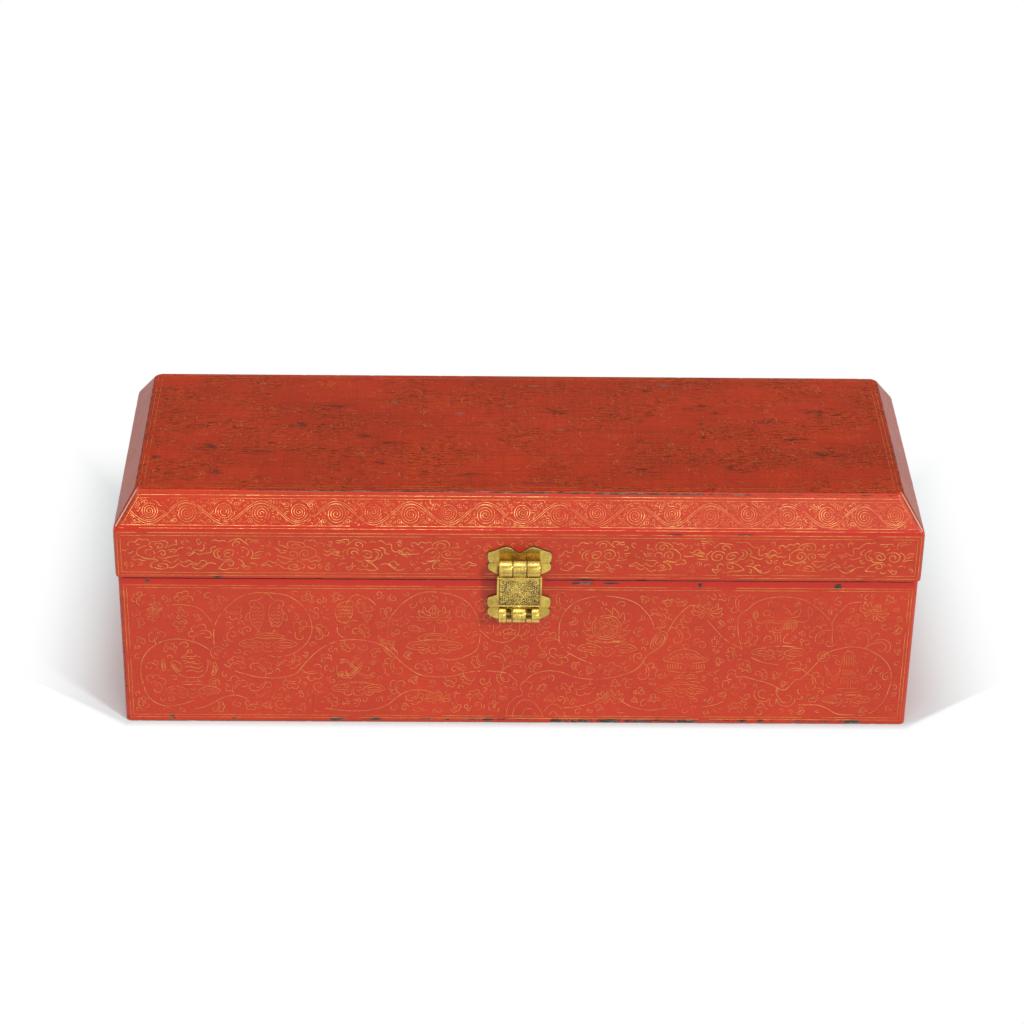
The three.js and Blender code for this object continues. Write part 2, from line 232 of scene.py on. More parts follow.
class Recipe:
    """A node tree that is written line by line."""

    def __init__(self, tree):
        self.tree = tree
        tree.nodes.clear()

    def node(self, kind, settings=None, sockets=None, output=0):
        made = self.tree.nodes.new(kind)
        for name, value in (settings or {}).items():
            setattr(made, name, value)
        for name, value in (sockets or {}).items():
            if isinstance(value, Wire):
                self.tree.links.new(value.socket, made.inputs[name])
            else:
                made.inputs[name].default_value = value
        return Wire(self, made.outputs[output]) if made.outputs else made

    def step(self, value, low, high):
        """0 below low, 1 above high, and a soft edge between them."""
        return self.node("ShaderNodeMapRange", {"interpolation_type": "SMOOTHSTEP"},
                         {"Value": value, "From Min": low, "From Max": high})

    def mix(self, share, first, second):
        """A colour between two colours."""
        sockets = {0: share, 6: tint(first), 7: tint(second)}
        return self.node("ShaderNodeMix", {"data_type": "RGBA"}, sockets, output=2)

    def clouds(self, place, size, seed=0.0, detail=3.0, rough=0.5):
        """Noise whose lumps are about size millimetres, which may differ along X, Y and Z."""
        sizes = size if isinstance(size, tuple) else (size,) * 3
        shift = (seed, 1.7 * seed, 0.6 * seed)
        moved = self.node("ShaderNodeMapping", None,
                          {"Vector": place, "Location": shift, "Scale": [1 / s for s in sizes]})
        return self.node("ShaderNodeTexNoise", None,
                         {"Vector": moved, "Scale": 1.0, "Detail": detail, "Roughness": rough})

    def bump(self, height, strength):
        """A normal from a height in millimetres."""
        return self.node("ShaderNodeBump", None,
                         {"Strength": strength, "Distance": MM, "Height": height})

    def carried(self, name):
        """A value that the mesh carries at its points."""
        return self.node("ShaderNodeAttribute", {"attribute_name": name}, output="Fac")


def tint(colour):
    """A colour with its alpha, or a wire as it is."""
    return colour if isinstance(colour, Wire) else (*colour, 1)


def srgb(red, green, blue):
    """A colour as a painter reads it from a picture, 0 to 255, as the shader needs it."""
    shares = [value / 255 for value in (red, green, blue)]
    return tuple(s / 12.92 if s <= 0.04045 else ((s + 0.055) / 1.055) ** 2.4 for s in shares)


def new_finish(name):
    """A material, its recipe, and the place on the object in millimetres."""
    material = bpy.data.materials.new(name)
    material.use_nodes = True
    recipe = Recipe(material.node_tree)
    object_place = recipe.node("ShaderNodeTexCoord", output="Object")
    place = recipe.node("ShaderNodeVectorMath", {"operation": "SCALE"},
                        {0: object_place, "Scale": 1 / MM})
    return material, recipe, place


def close_finish(recipe, sockets):
    shader = recipe.node("ShaderNodeBsdfPrincipled", None, sockets)
    recipe.node("ShaderNodeOutputMaterial", None, {"Surface": shader})


print("half grey as the shader needs it:", round(srgb(128, 128, 128)[0], 3))


# %% [markdown]
# ## Lacquer
# The red skin is many thin coats of lacquer on a dark undercoat. Where it rubs against hands and
# tables the gold and the gloss go first, then brown streaks appear along the wood, and at the
# edges chips show the dark ground. One flat red would look like plastic. So the finish is built in
# the order in which it wears: an uneven red, fine lines along the boards, brown streaks, small
# dots, and chips that follow a value called `chip`, which the mesh carries near its edges. Three
# more such values say where the red is `pure`, where a pale painted highlight lies along the
# hips of the lid, and where a dark brown painted shade lies in the gap under the lid and along
# the foot.

# %% The lacquer finishes
UNDERCOAT = srgb(58, 50, 42)
BARE_GREY = srgb(118, 108, 96)
RUBBED = srgb(108, 42, 16)
STAIN = srgb(64, 30, 14)
DEEP_RED = srgb(172, 30, 20)
PURE_RED = srgb(200, 30, 12)
OLD_GOLD = srgb(190, 116, 44)
# a pale painted highlight, laid on the lid's hips
PAINTED_HIP_HIGHLIGHT = srgb(240, 186, 166)
# a dark brown painted shade, laid in the gap under the lid and along the foot
PAINTED_GAP_SHADE = srgb(66, 26, 20)
SPECK_CELL, SPECK_RADIUS = 9.0, 0.045  # a speck's cell in millimetres, its radius as a share of it


def spot_at(face, x, y, wide, high=None):
    """A spot at a pixel of the photograph: its middle and its reach on the face, in millimetres."""
    reach = np.abs(face.across) * wide + np.abs(face.up) * (high or wide)
    return face.lay([*face.traced((x, y))[0], 0.0]), reach + np.abs(face.out) * 3 + 0.01


def nearness(r, place, spots):
    """1 in the middle of the nearest spot and 0 at its rim."""
    found = None
    for middle, reach in spots:
        offset = r.node("ShaderNodeVectorMath", {"operation": "MULTIPLY_ADD"},
                        {0: place, 1: tuple(1 / reach), 2: tuple(-middle / reach)})
        length = r.node("ShaderNodeVectorMath", {"operation": "LENGTH"}, {0: offset}, "Value")
        near = 1.0 - length
        found = near.larger(0.0) if found is None else near.larger(found)
    return found


def lacquer(name, red, bright, streaks, gloss, grain, stains=(), smears=()):
    """Lacquer with its wear, a painted highlight and painted shade. streaks is how much brown
    shows, gloss how much the coat shines, and grain how much the lines along the boards show."""
    material, r, place = new_finish(name)
    uneven = r.clouds(place, 45.0, 4.4)
    red_tone = r.mix(r.step(uneven, 0.3, 0.7), red, bright)
    lines = r.clouds(place, (70.0, 1.1, 1.1), 11.3, detail=4.0, rough=0.6)
    red_tone = r.mix(r.step(lines, 0.5, 0.8) * grain, red_tone, RUBBED)
    cloth = r.clouds(place, (0.9, 50.0, 50.0), 17.7, detail=3.0, rough=0.6)
    red_tone = r.mix(r.step(cloth, 0.52, 0.8) * (grain * 0.7), red_tone, RUBBED)
    mottle = r.clouds(place, 1.7, 12.6, detail=3.0, rough=0.6)
    red_tone = r.mix(r.step(mottle, 0.45, 0.75) * 0.4, red_tone, DEEP_RED)
    patches = r.step(r.clouds(place, (40.0, 20.0, 20.0), 5.7), 0.36, 0.62)
    streak = r.clouds(place, (6.5, 1.2, 1.2), 8.9, detail=6.0, rough=0.72)
    rubbed = r.step(streak, 0.49, 0.62) * patches * streaks
    dash = r.clouds(place, (3.6, 1.0, 1.0), 23.1, detail=3.0, rough=0.6)
    dashes = r.step(dash + patches * 0.06, 0.62, 0.7) * streaks
    speck_cells = r.node("ShaderNodeTexVoronoi", {"feature": "F1"},
                         {"Vector": place, "Scale": 1 / SPECK_CELL}, output="Distance")
    chosen = r.node("ShaderNodeSeparateColor", None, {"Color": speck_cells.of("Color")})
    specks = (speck_cells < SPECK_RADIUS) * (chosen > 0.62)
    ragged = r.clouds(place, (2.4, 1.1, 1.1), 2.2, detail=5.0, rough=0.65)
    bare = r.step(r.carried("chip") + ragged * 0.9, 0.93, 0.99)
    colour = r.mix(rubbed, red_tone, RUBBED)
    colour = r.mix(dashes * 0.6, colour, STAIN)
    crumbs = r.clouds(place, (1.5, 0.8, 0.8), 27.7, detail=3.0, rough=0.6)
    colour = r.mix(r.step(crumbs, 0.56, 0.66) * patches * (0.5 * streaks), colour, OLD_GOLD)
    colour = r.mix(specks * 0.8, colour, UNDERCOAT)
    if stains:
        blot = r.step(nearness(r, place, stains) * 0.6 + streak * 2.4, 1.5, 1.85)
        colour = r.mix(blot * 0.75, colour, STAIN)
    if smears:
        smear = r.step(nearness(r, place, smears) * 0.9 + ragged * 1.7, 1.3, 1.6)
        colour = r.mix(smear * 0.5, colour, BARE_GREY)
    pure = r.step(r.carried("pure") + ragged * 0.4, 0.4, 0.8)
    colour = r.mix(pure * 0.72, colour, PURE_RED)
    # painted highlight: pale along the lid's rounded hips, where they would catch the lamps
    hip_highlight = r.step(r.carried("hip_highlight") + ragged * 0.5, 0.6, 1.1)
    colour = r.mix(hip_highlight * 0.75, colour, PAINTED_HIP_HIGHLIGHT)
    # painted shade: dark brown in the gap under the lid and along the foot
    gap_shade_line = r.step(r.carried("gap_shade_line") + ragged * 0.5, 0.6, 0.9)
    colour = r.mix(gap_shade_line, colour, PAINTED_GAP_SHADE)
    colour = r.mix(bare, colour, r.mix(r.step(streak, 0.5, 0.62), UNDERCOAT, BARE_GREY))
    ripple = r.clouds(place, 26.0, 6.4, detail=1.0)
    pores = r.clouds(place, 0.5, 1.4, detail=2.0)
    height = ripple * 0.5 + pores * 0.012 + lines * 0.03 + streak * 0.02 * streaks - bare * 0.25
    close_finish(r, {
        "Base Color": colour,
        "Roughness": 0.26 + rubbed * 0.3 + bare * 0.35 + pores * 0.08,
        "Specular IOR Level": gloss,
        "Normal": r.bump(height, 0.5),
    })
    return material


bevel_front = bevel_faces["front"]
spots = [
    spot_at(bevel_front, 519, 516, 1.5), spot_at(bevel_front, 138, 515, 1.3),
    spot_at(case_faces["front"], 130.5, 683, 1.2), spot_at(bevel_front, 733, 508, 3.0, 0.8),
]
stain_marks = [
    (212, 447, 18, 6), (335, 406, 20, 5), (257, 452, 18, 5), (366, 436, 16, 5), (213, 471, 11, 6),
    (155, 457, 6, 6), (770, 422, 16, 8), (392, 443, 15, 5), (205, 425, 14, 5), (470, 474, 13, 4),
    (378, 463, 15, 5), (790, 440, 18, 5), (640, 469, 13, 4), (300, 425, 22, 4), (558, 412, 16, 4),
    (828, 455, 20, 8), (815, 412, 22, 7),
]
cup_marks = [
    (702, 424, 3, 6), (703, 437, 3, 6), (709, 450, 4, 5), (719, 461, 6, 4), (731, 469, 7, 4),
    (744, 470, 7, 4), (757, 463, 5, 4), (763, 449, 3, 6), (690, 409, 7, 3.5), (703, 406, 8, 4),
    (715, 413, 7, 4),
]
stains = [spot_at(top_face, *mark) for mark in stain_marks + cup_marks]
smears = [spot_at(top_face, *mark, 3.0) for mark in [
    (460, 413, 6), (509, 406, 4), (534, 386, 7), (663, 385, 7), (395, 402, 4), (560, 430, 4)]]
red_lacquer = lacquer("red_lacquer", srgb(193, 52, 21), srgb(203, 58, 24),
                      streaks=0.12, gloss=0.36, grain=0.16, stains=spots)
# the ends' darker, greyer red is painted shade and sheen for how they face the lamps, and their
# streaks and grain are wear
end_lacquer_wear_and_painted_shade = lacquer("end_lacquer_wear_and_painted_shade", srgb(157, 65, 42), srgb(169, 71, 46),
                      streaks=0.3, gloss=0.07, grain=0.5)
top_lacquer = lacquer("top_lacquer", srgb(174, 48, 12), srgb(192, 56, 18),
                      streaks=1.0, gloss=0.05, grain=0.7, stains=stains, smears=smears)
inner_lacquer = lacquer("inner_lacquer", srgb(118, 24, 18), srgb(138, 30, 22),
                        streaks=0.15, gloss=0.3, grain=0.15)
print("finishes:", [m.name for m in bpy.data.materials if "lacquer" in m.name])


# %% [markdown]
# ## Skins of the case and the lid
# The mitred boards of the exact model are real, but on the finished box the lacquer runs over
# their joints in one skin. Each skin is one closed mesh made of rings: rounded rectangles that
# climb the outside, cross the rim and come down the inside. A bevelled cube with a Solidify
# modifier would be quicker, but rings give fine, even columns of points along every edge, which
# the chips need.

# %% Rings and skins
COLUMN = 1.5
CROWN_ROUND = 0.1  # how much rounder the corners grow for each millimetre above the ridge
CORNER_STEPS = 8
ROUND_STEPS = 5
INNER_ROUND = 0.8


def ring_points(half_x, half_y, rounding, z):
    """A rounded rectangle at height z, anticlockwise, with the same count of points at any size."""
    points = []
    counts = (int(2 * lid_half[0] / COLUMN), int(2 * lid_half[1] / COLUMN))
    quarters = [(1, 1), (-1, 1), (-1, -1), (1, -1)]
    for quarter, (sx, sy) in enumerate(quarters):
        for step in range(CORNER_STEPS + 1):
            turn = (quarter + step / CORNER_STEPS) * math.pi / 2
            x = sx * (half_x - rounding) + rounding * math.cos(turn)
            y = sy * (half_y - rounding) + rounding * math.sin(turn)
            points.append((x, y, z))
        nx, ny = quarters[(quarter + 1) % 4]
        start = np.array(points[-1])
        turn = (quarter + 1) * math.pi / 2
        end = np.array([nx * (half_x - rounding) + rounding * math.cos(turn),
                        ny * (half_y - rounding) + rounding * math.sin(turn), z])
        count = counts[quarter % 2]
        points += [tuple(start + (end - start) * k / count) for k in range(1, count)]
    return np.array(points)


def rounded_profile(corners):
    """An outline through (inset, height, rounding, levels after it) corners, with short curves."""
    outline = []
    for here, (inset, height, rounding, levels) in enumerate(corners):
        at = np.array([inset, height], float)
        if rounding:
            before = np.array(corners[here - 1][:2], float) - at
            after = np.array(corners[here + 1][:2], float) - at
            start = at + before / np.linalg.norm(before) * rounding
            end = at + after / np.linalg.norm(after) * rounding
            for step in range(ROUND_STEPS + 1):
                t = step / ROUND_STEPS
                outline.append(start * (1 - t) ** 2 + 2 * at * t * (1 - t) + end * t ** 2)
        else:
            outline.append(at)
        if here + 1 < len(corners):
            after = np.array(corners[here + 1][:2], float)
            outline += [at + (after - at) * share for share in levels]
    return outline


def new_mesh_piece(name, points, faces, finishes, picks=None):
    """A mesh from points in millimetres. picks chooses a finish for each face."""
    mesh = bpy.data.meshes.new(name)
    mesh.from_pydata([tuple(p) for p in np.asarray(points) * MM], [], faces)
    for finish in finishes:
        mesh.materials.append(finish)
    if picks is not None:
        mesh.polygons.foreach_set("material_index", picks)
    mesh.polygons.foreach_set("use_smooth", [True] * len(mesh.polygons))
    mesh.update()
    made = bpy.data.objects.new(name, mesh)
    bpy.context.scene.collection.objects.link(made)
    return made


print("points in a ring:", len(ring_points(*case_half, corner_round, 0)))


# %% [markdown]
# Chips are named by where they are: a middle, and how far they reach along X, Y and Z. The ones
# that the photograph shows come first, then seeded small ones along every edge. Each lowers the
# points near it a little and writes the `chip` value that the lacquer reads, so the notch is a
# real one and its ragged rim comes from the material. The other values are spread by the same kind
# of spots.

# %% Chips along the edges
CHIP_DEPTH = 0.45
CHIP_ROW_PX = 9.0  # pixels from chip to chip in a row


def chip_at(face, x, y, reach, across=1.6, strength=1.0):
    """A chip found at a pixel of the photograph, on a face."""
    spot = face.traced((x, y))[0]
    return face.lay([*spot, 0.0]), (reach, across, across), strength


def edge_chips(rng, ends, count):
    """Small chips along a straight edge between two points."""
    start, end = (np.array(p, float) for p in ends)
    along = np.abs(end - start) / np.linalg.norm(end - start)
    made = []
    for _ in range(count):
        spot = start + (end - start) * rng.random()
        size = rng.uniform(0.5, 2.2)
        strength = rng.uniform(0.35, 0.8)
        made.append((spot, tuple(0.9 + (size - 0.9) * a for a in along), strength))
    return made


def chip_values(points, chips):
    """For each point, the strength of the chip that it is nearest to the middle of."""
    values = np.zeros(len(points))
    for middle, reach, strength in chips:
        offset = (points - np.array(middle)) / np.array(reach)
        near = 1 - np.sqrt((offset ** 2).sum(1))
        values = np.maximum(values, strength * np.clip(near * 1.6, 0, 1))
    return values


def chip_line(rng, face, first, last, low, slope, across, strength, reach=6.0):
    """Many small chips in a row, along an edge that is at pixel row low + slope * column."""
    return [chip_at(face, x, low + slope * x, reach * rng.uniform(0.7, 1.2), across,
                    strength * rng.uniform(0.55, 1.1)) for x in np.arange(first, last, CHIP_ROW_PX)]


def marks_along(half_y, z, reach, strength=1.0):
    """Long spots in a row, 20 mm apart, on the front and on the back."""
    return [((x, side * half_y, z), reach, strength)
            for x in range(-190, 191, 20) for side in (-1, 1)]


def straight_edges(*levels):
    """The edges along X and then those along Y, for levels given as (half sizes, height)."""
    along_x = [((-hx, side * hy, z), (hx, side * hy, z))
               for (hx, hy), z in levels for side in (-1, 1)]
    along_y = [((side * hx, -hy, z), (side * hx, hy, z))
               for (hx, hy), z in levels for side in (1, -1)]
    return along_x + along_y


print("chips are up to", CHIP_DEPTH, "mm deep")


# %% [markdown]
# One function makes either skin. It asks another function for the finish of each band, because the
# inside, the outside and the top are lacquered differently.

# %% A skin through rings
def skin(name, half, corners, finish_of, finishes, chips, marks):
    """A closed skin. finish_of picks a band's finish from its inset, height and place along X."""
    profile = rounded_profile(corners)
    rings = []
    for inset, height in profile:
        rounding = INNER_ROUND
        if inset < board - 1 or height > ridge:
            rounding = corner_round + CROWN_ROUND * max(0, height - ridge)
        rings.append(ring_points(half[0] - inset, half[1] - inset, rounding, height))
    count = len(rings[0])
    points = np.concatenate(rings)
    faces, picks = [list(range(count))[::-1]], [finish_of(*profile[0], 0)]
    for level in range(len(rings) - 1):
        middle = (profile[level] + profile[level + 1]) / 2
        for at in range(count):
            after = (at + 1) % count
            base = level * count
            faces.append((base + at, base + after, base + count + after, base + count + at))
            picks.append(finish_of(*middle, abs(rings[level][at][0]) + middle[0]))
    faces.append([(len(rings) - 1) * count + at for at in range(count)])
    picks.append(finish_of(*profile[-1], 0))
    made = new_mesh_piece(name, points, faces, finishes, picks)
    for flat in (0, len(faces) - 1):
        made.data.polygons[flat].use_smooth = False
    values = chip_values(points, chips)
    normals = np.zeros((len(points), 3), np.float32)
    made.data.vertices.foreach_get("normal", normals.ravel())
    rough = np.array([0.6 + 0.8 * noise.noise(Vector(p) * 0.8) for p in points])
    points = points - normals * (CHIP_DEPTH * values * np.clip(rough, 0, 1.2))[:, None]
    made.data.vertices.foreach_set("co", (points * MM).astype(np.float32).ravel())
    marks = {"chip": values,
             **{kind: chip_values(points, spots) for kind, spots in marks.items()}}
    for kind, shares in marks.items():
        carried = made.data.attributes.new(kind, "FLOAT", "POINT")
        carried.data.foreach_set("value", shares.astype(np.float32))
    made.data.update()
    print(name, "faces:", len(faces), "chips:", len(chips))
    return made


# %% [markdown]
# The case is a plain box with a well. On the real one the rim below the lid and the foot are worn
# most, in places that the photograph shows, so those chips are named by their pixels. The upright
# corners have lost their gold and some red all the way down.

# %% The skin of the case
rng = random.Random(41)
front = case_faces["front"]
hx, hy = case_half
case_chips = [chip_at(front, *chip) for chip in [
    (582, 583.4, 9.0, 1.1), (611, 583.8, 8.0, 1.0), (592, 584.6, 2.5, 1.2), (147, 581, 2.0),
    (700, 585, 2.5), (838, 586, 4.0),
]] + [chip_at(front, x, y, reach, 1.5, strength) for x, y, reach, strength in [
    (172, 717, 4.5, 1.0), (336, 719, 5.0, 1.0), (375, 719, 5.0, 0.9), (487, 720, 3.5, 1.0),
    (552, 720, 2.0, 0.8), (611, 721, 5.5, 1.0), (742, 721, 3.0, 0.9), (759, 721, 2.5, 1.0),
    (852, 722, 7.0, 0.9), (235, 718, 2.2, 0.8), (426, 719, 2.0, 0.7), (680, 721, 2.5, 0.7),
]]
case_chips += chip_line(rng, front, 330, 870, 717.6, 0.0049, 0.8, 0.62)
case_chips += chip_line(rng, front, 556, 700, 718.2, 0.0049, 1.3, 0.72)
case_chips += [((side * (hx - inwards), -hy + 0.35, case_top / 2), (1.7, 1.6, 400), strength)
               for side, inwards, strength in ((-1, 0.8, 0.49), (1, 0.7, 0.41))]
case_chips += [chip for edge in straight_edges((case_half, case_top), (case_half, 0))
               for chip in edge_chips(rng, edge, 16)]
# painted shade: a dark line along the rim, in the gap under the lid, and along the foot where the
# box meets the floor
gap_and_foot_shade = marks_along(hy, case_top, (34, 0.9, 1.0), 0.9) + marks_along(hy, 0, (34, 0.9, 0.7), 0.9)
gap_and_foot_shade += [((side * hx, y, case_top), (0.9, 34, 1.0), 0.9)
         for y in range(-60, 61, 20) for side in (-1, 1)]
upper = marks_along(hy, case_top - 1.2, (34, 1.0, 3.4))
case_corners = [
    (board, 0, 0, (0.5, 0.8)),
    (0, 0, 0.8, (0.02, 0.04, 0.1, 0.3, 0.5, 0.7, 0.9, 0.96, 0.98)),
    (0, case_top, 1.2, (0.4, 0.6)),
    (board, case_top, 0.8, (0.05, 0.5)),
    (board, floor_top, 0, ()),
    (board + 0.6, floor_top, 0, ()),
]
WALL = board - 0.9  # a band that lies further in than this is inside


def case_side(inset, height, x):
    """0 outside, 1 in the well."""
    return int(inset > WALL and height > floor_top - 0.5)


case_skin = skin("case_skin", case_half, case_corners, case_side, [red_lacquer, inner_lacquer],
                 case_chips, {"gap_shade_line": gap_and_foot_shade, "pure": upper})
SIDES = ("front", "back", "left", "right")
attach(case_skin, "case")
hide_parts(*[f"case_{s}_board" for s in (*SIDES, "floor")])

# %% [markdown]
# The lid's skin starts at the hollow's ceiling, comes down inside, crosses the rim and climbs the
# wall, the bevel and the top. The top has a finish of its own, because hands and dust wore it
# most, and so have the bevels at the two ends, whose darker, greyer red is also painted shade and
# sheen. The four hips between the bevels carry a pale painted highlight.

# %% Wear of the lid
lid_front = lid_faces["front"]
hx, hy = lid_half
lid_chips = [
    chip for first, last, strength in [
        (158, 262, 0.66), (262, 716, 0.95), (716, 838, 0.65), (838, 904, 0.95)]
    for chip in chip_line(rng, bevel_front, first, last, 486.5, 0.0112, 0.68, strength, 8.0)]
lid_chips += [((side * top_half[0], y, crown), (0.8, 7, 0.8), rng.uniform(0.5, 0.75))
              for side in (-1, 1) for y in range(-57, 58, 9)]
lid_chips += [chip_at(lid_front, *chip) for chip in [
    (769, 530.5, 6, 1.2, 0.9), (818, 531.5, 5, 1.2, 0.7), (585, 580.5, 9, 1.3, 0.9),
    (640, 581, 5, 1.3, 0.7), (218, 577, 4, 1.2, 0.7), (860, 583, 5, 1.2, 0.7),
    (675, 534.6, 8, 0.8, 0.75), (745, 535.4, 10, 0.7, 0.75),
]]
lid_chips += [chip for edge in straight_edges((lid_half, lid_base), (lid_half, ridge),
                                              (top_half, crown))
              for chip in edge_chips(rng, edge, 12)]
# pale painted highlights on the four hips, placed on their rounded surface
hips = []
for t in np.linspace(-0.05, 1, 22):
    z = ridge + t * (crown - ridge)
    cut_off = t * bevel_inset + 0.29 * (corner_round + CROWN_ROUND * t * (crown - ridge))
    hips += [((sx * (hx - cut_off), sy * (hy - cut_off), z), (0.85, 0.85, 0.85), 1.0)
             for sx in (-1, 1) for sy in (-1, 1)]
rail_foot = marks_along(hy - 0.7, ridge + 0.5, (34, 1.7, 2.0))
print("chips on the lid:", len(lid_chips), "- painted_highlights on its hips:", len(hips))

# %% [markdown]
# Inside, the skin follows the rails' sloping backs up to the top panel, as the boards do.

# %% The skin of the lid
lean = bevel_inset / (crown - ridge)
rail_width = board * math.hypot(1, lean)
panel_base = crown - board
inner_ridge = ridge - (rail_width - board) / lean
inner_crown = rail_width + (panel_base - ridge) * lean
lid_corners = [
    (inner_crown + 0.6, panel_base, 0, ()),
    (inner_crown, panel_base, 0, ()),
    (board, inner_ridge, 0, (0.5,)),
    (board, lid_base, 0.8, (0.5,)),
    (0, lid_base, 0.8, (0.04, 0.1, 0.3, 0.6, 0.86, 0.91)),
    (0, ridge, 2.0, (0.14, 0.2, 0.4, 0.6, 0.8, 0.9, 0.95)),
    (bevel_inset, crown, 0.9, (0.35, 0.6)),
    (bevel_inset + board, crown, 0, ()),
]


def lid_side(inset, height, x):
    """0 outside, 1 inside, 2 on top, 3 on the bevels at the two ends."""
    at_end = x > lid_half[0] - 1.2
    if height > crown - (0.7 if at_end else 0.12):
        return 2
    if at_end and ridge + 0.6 < height < crown and inset < bevel_inset:
        return 3
    return int(inset > WALL + max(0, height - ridge) * lean)


lid_skin = skin("lid_skin", lid_half, lid_corners, lid_side,
                [red_lacquer, inner_lacquer, top_lacquer, end_lacquer_wear_and_painted_shade],
                lid_chips, {"hip_highlight": hips, "pure": rail_foot})
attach(lid_skin, "lid")
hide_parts("lid_top_panel",
            *[f"lid_{s}_{kind}" for s in SIDES for kind in ("wall", "rail")])

# %% [markdown]
# ## The pen
# The ornament is a net of engraved lines, each filled with gold leaf. A painted mask would blur
# when one looks closely, so every line is real: the pen collects strokes on a face, and one
# Geometry Nodes tree turns them into thin ridges of gold. Its inputs are the profile's height
# share and the finish. The lines are drawn flat, evaluated to a plain mesh, and only then laid on
# their face.

# %% The tree that gilds a line
PROFILE_SIDES = 3
PROFILE_RADIUS = 0.577
LINE_RISE = 0.2  # a line's height as a share of its width


def line_tree():
    tree = bpy.data.node_groups.new("gilded_lines", "GeometryNodeTree")
    r = Recipe(tree)
    sockets = {}
    for name, kind in [("Geometry", "Geometry"), ("Height share", "Float"), ("Finish", "Material")]:
        socket = tree.interface.new_socket(name, in_out="INPUT", socket_type=f"NodeSocket{kind}")
        sockets[name] = socket.identifier
    tree.interface.new_socket("Geometry", in_out="OUTPUT", socket_type="NodeSocketGeometry")
    given = r.node("NodeGroupInput")
    curve = r.node("GeometryNodeMeshToCurve", None, {"Mesh": given.of("Geometry")})
    width = r.node("GeometryNodeInputNamedAttribute", {"data_type": "FLOAT"}, {"Name": "width"})
    curve = r.node("GeometryNodeSetCurveNormal", {"mode": "Z_UP"}, {"Curve": curve})
    profile = r.node("GeometryNodeCurvePrimitiveCircle", None,
                     {"Resolution": PROFILE_SIDES, "Radius": PROFILE_RADIUS})
    flat = r.node("ShaderNodeCombineXYZ", None, {"X": given.of("Height share"), "Y": 1.0, "Z": 1.0})
    profile = r.node("GeometryNodeTransform", None,
                     {"Geometry": profile, "Scale": flat, "Rotation": (0, 0, -math.pi / 2)})
    solid = r.node("GeometryNodeCurveToMesh", None,
                   {"Curve": curve, "Profile Curve": profile, "Scale": width, "Fill Caps": True})
    solid = r.node("GeometryNodeSetShadeSmooth", None, {"Geometry": solid, "Shade Smooth": False})
    solid = r.node("GeometryNodeRealizeInstances", None, {"Geometry": solid})
    solid = r.node("GeometryNodeSetMaterial", None,
                   {"Geometry": solid, "Material": given.of("Finish")})
    r.node("NodeGroupOutput", None, {"Geometry": solid})
    return tree, sockets


gilding, gilding_sockets = line_tree()


def grown(made, tree, values):
    """Runs a Geometry Nodes tree on an object and keeps the result as its plain mesh."""
    modifier = made.modifiers.new(tree.name, "NODES")
    modifier.node_group = tree
    for identifier, value in values.items():
        modifier[identifier] = value
    bpy.context.view_layer.update()
    ready = made.evaluated_get(bpy.context.evaluated_depsgraph_get())
    mesh = bpy.data.meshes.new_from_object(ready)
    made.modifiers.clear()
    made.data = mesh


print("inputs:", gilding_sockets)


# %% [markdown]
# A stroke may be given by a few points, and `flowing` leads a smooth line through them. The pen
# keeps a map of the small cells that its strokes cross, so that leaves can be set only where there
# is room. Where gold has worn away, the stroke is cut into shorter runs.

# %% Strokes
STEP = 0.55
STRAIGHT_STEP = 2.5
CELL, MAP_HALF = 0.75, 220.0


def flowing(points, step=STEP):
    """A smooth line through the points, in even steps."""
    p = np.asarray(points, float)
    if len(p) > 2:
        closed = np.allclose(p[0], p[-1])
        first = p[-2] if closed else 2 * p[0] - p[1]
        last = p[1] if closed else 2 * p[-1] - p[-2]
        a = np.vstack([first, p[:-2]])
        b, c = p[:-1], p[1:]
        d = np.vstack([p[2:], last])
        shares = np.linspace(0, 1, 9)[:-1]
        dense = np.array([
            0.5 * (2 * b + (c - a) * t + (2 * a - 5 * b + 4 * c - d) * t ** 2
                   + (3 * b - a - 3 * c + d) * t ** 3)
            for t in shares
        ]).transpose(1, 0, 2).reshape(-1, 2)
        p = np.vstack([dense, p[-1]])
    lengths = np.concatenate([[0], np.cumsum(np.linalg.norm(np.diff(p, axis=0), axis=1))])
    count = max(2, int(round(lengths[-1] / step)) + 1)
    at = np.linspace(0, lengths[-1], count)
    return np.column_stack([np.interp(at, lengths, p[:, axis]) for axis in (0, 1)])


def turned(points, centre=(0, 0), size=1.0, angle=0.0, flip=1):
    """A motif's points, mirrored, scaled, turned and moved."""
    p = np.asarray(points, float) * (size, size * flip)
    c, s = math.cos(angle), math.sin(angle)
    return p @ np.array([[c, s], [-s, c]]) + centre


class Map:
    """Which small cells of a face are taken, as a grid centred on the face's origin."""

    def __init__(self):
        self.middle = int(MAP_HALF / CELL)
        self.taken = np.zeros((2 * self.middle + 1,) * 2, bool)

    def cells(self, points):
        return tuple((np.round(np.asarray(points) / CELL).astype(int) + self.middle).T)

    def take(self, points, reach=1):
        across, up = self.cells(points)
        for dx in range(-reach, reach + 1):
            for dy in range(-reach, reach + 1):
                self.taken[across + dx, up + dy] = True

    def free(self, points):
        return not self.taken[self.cells(points)].any()


print("a line of 10 mm has", len(flowing([(0, 0), (5, 0), (10, 0)])), "points")


# %% [markdown]
# A drawing holds the strokes of one face. Its pens take points in millimetres, a motif with its
# place, or pixels of the photograph. `gild` ends it: it leaves out the worn runs, thins the ends
# of each run, and hands the lines to the tree.

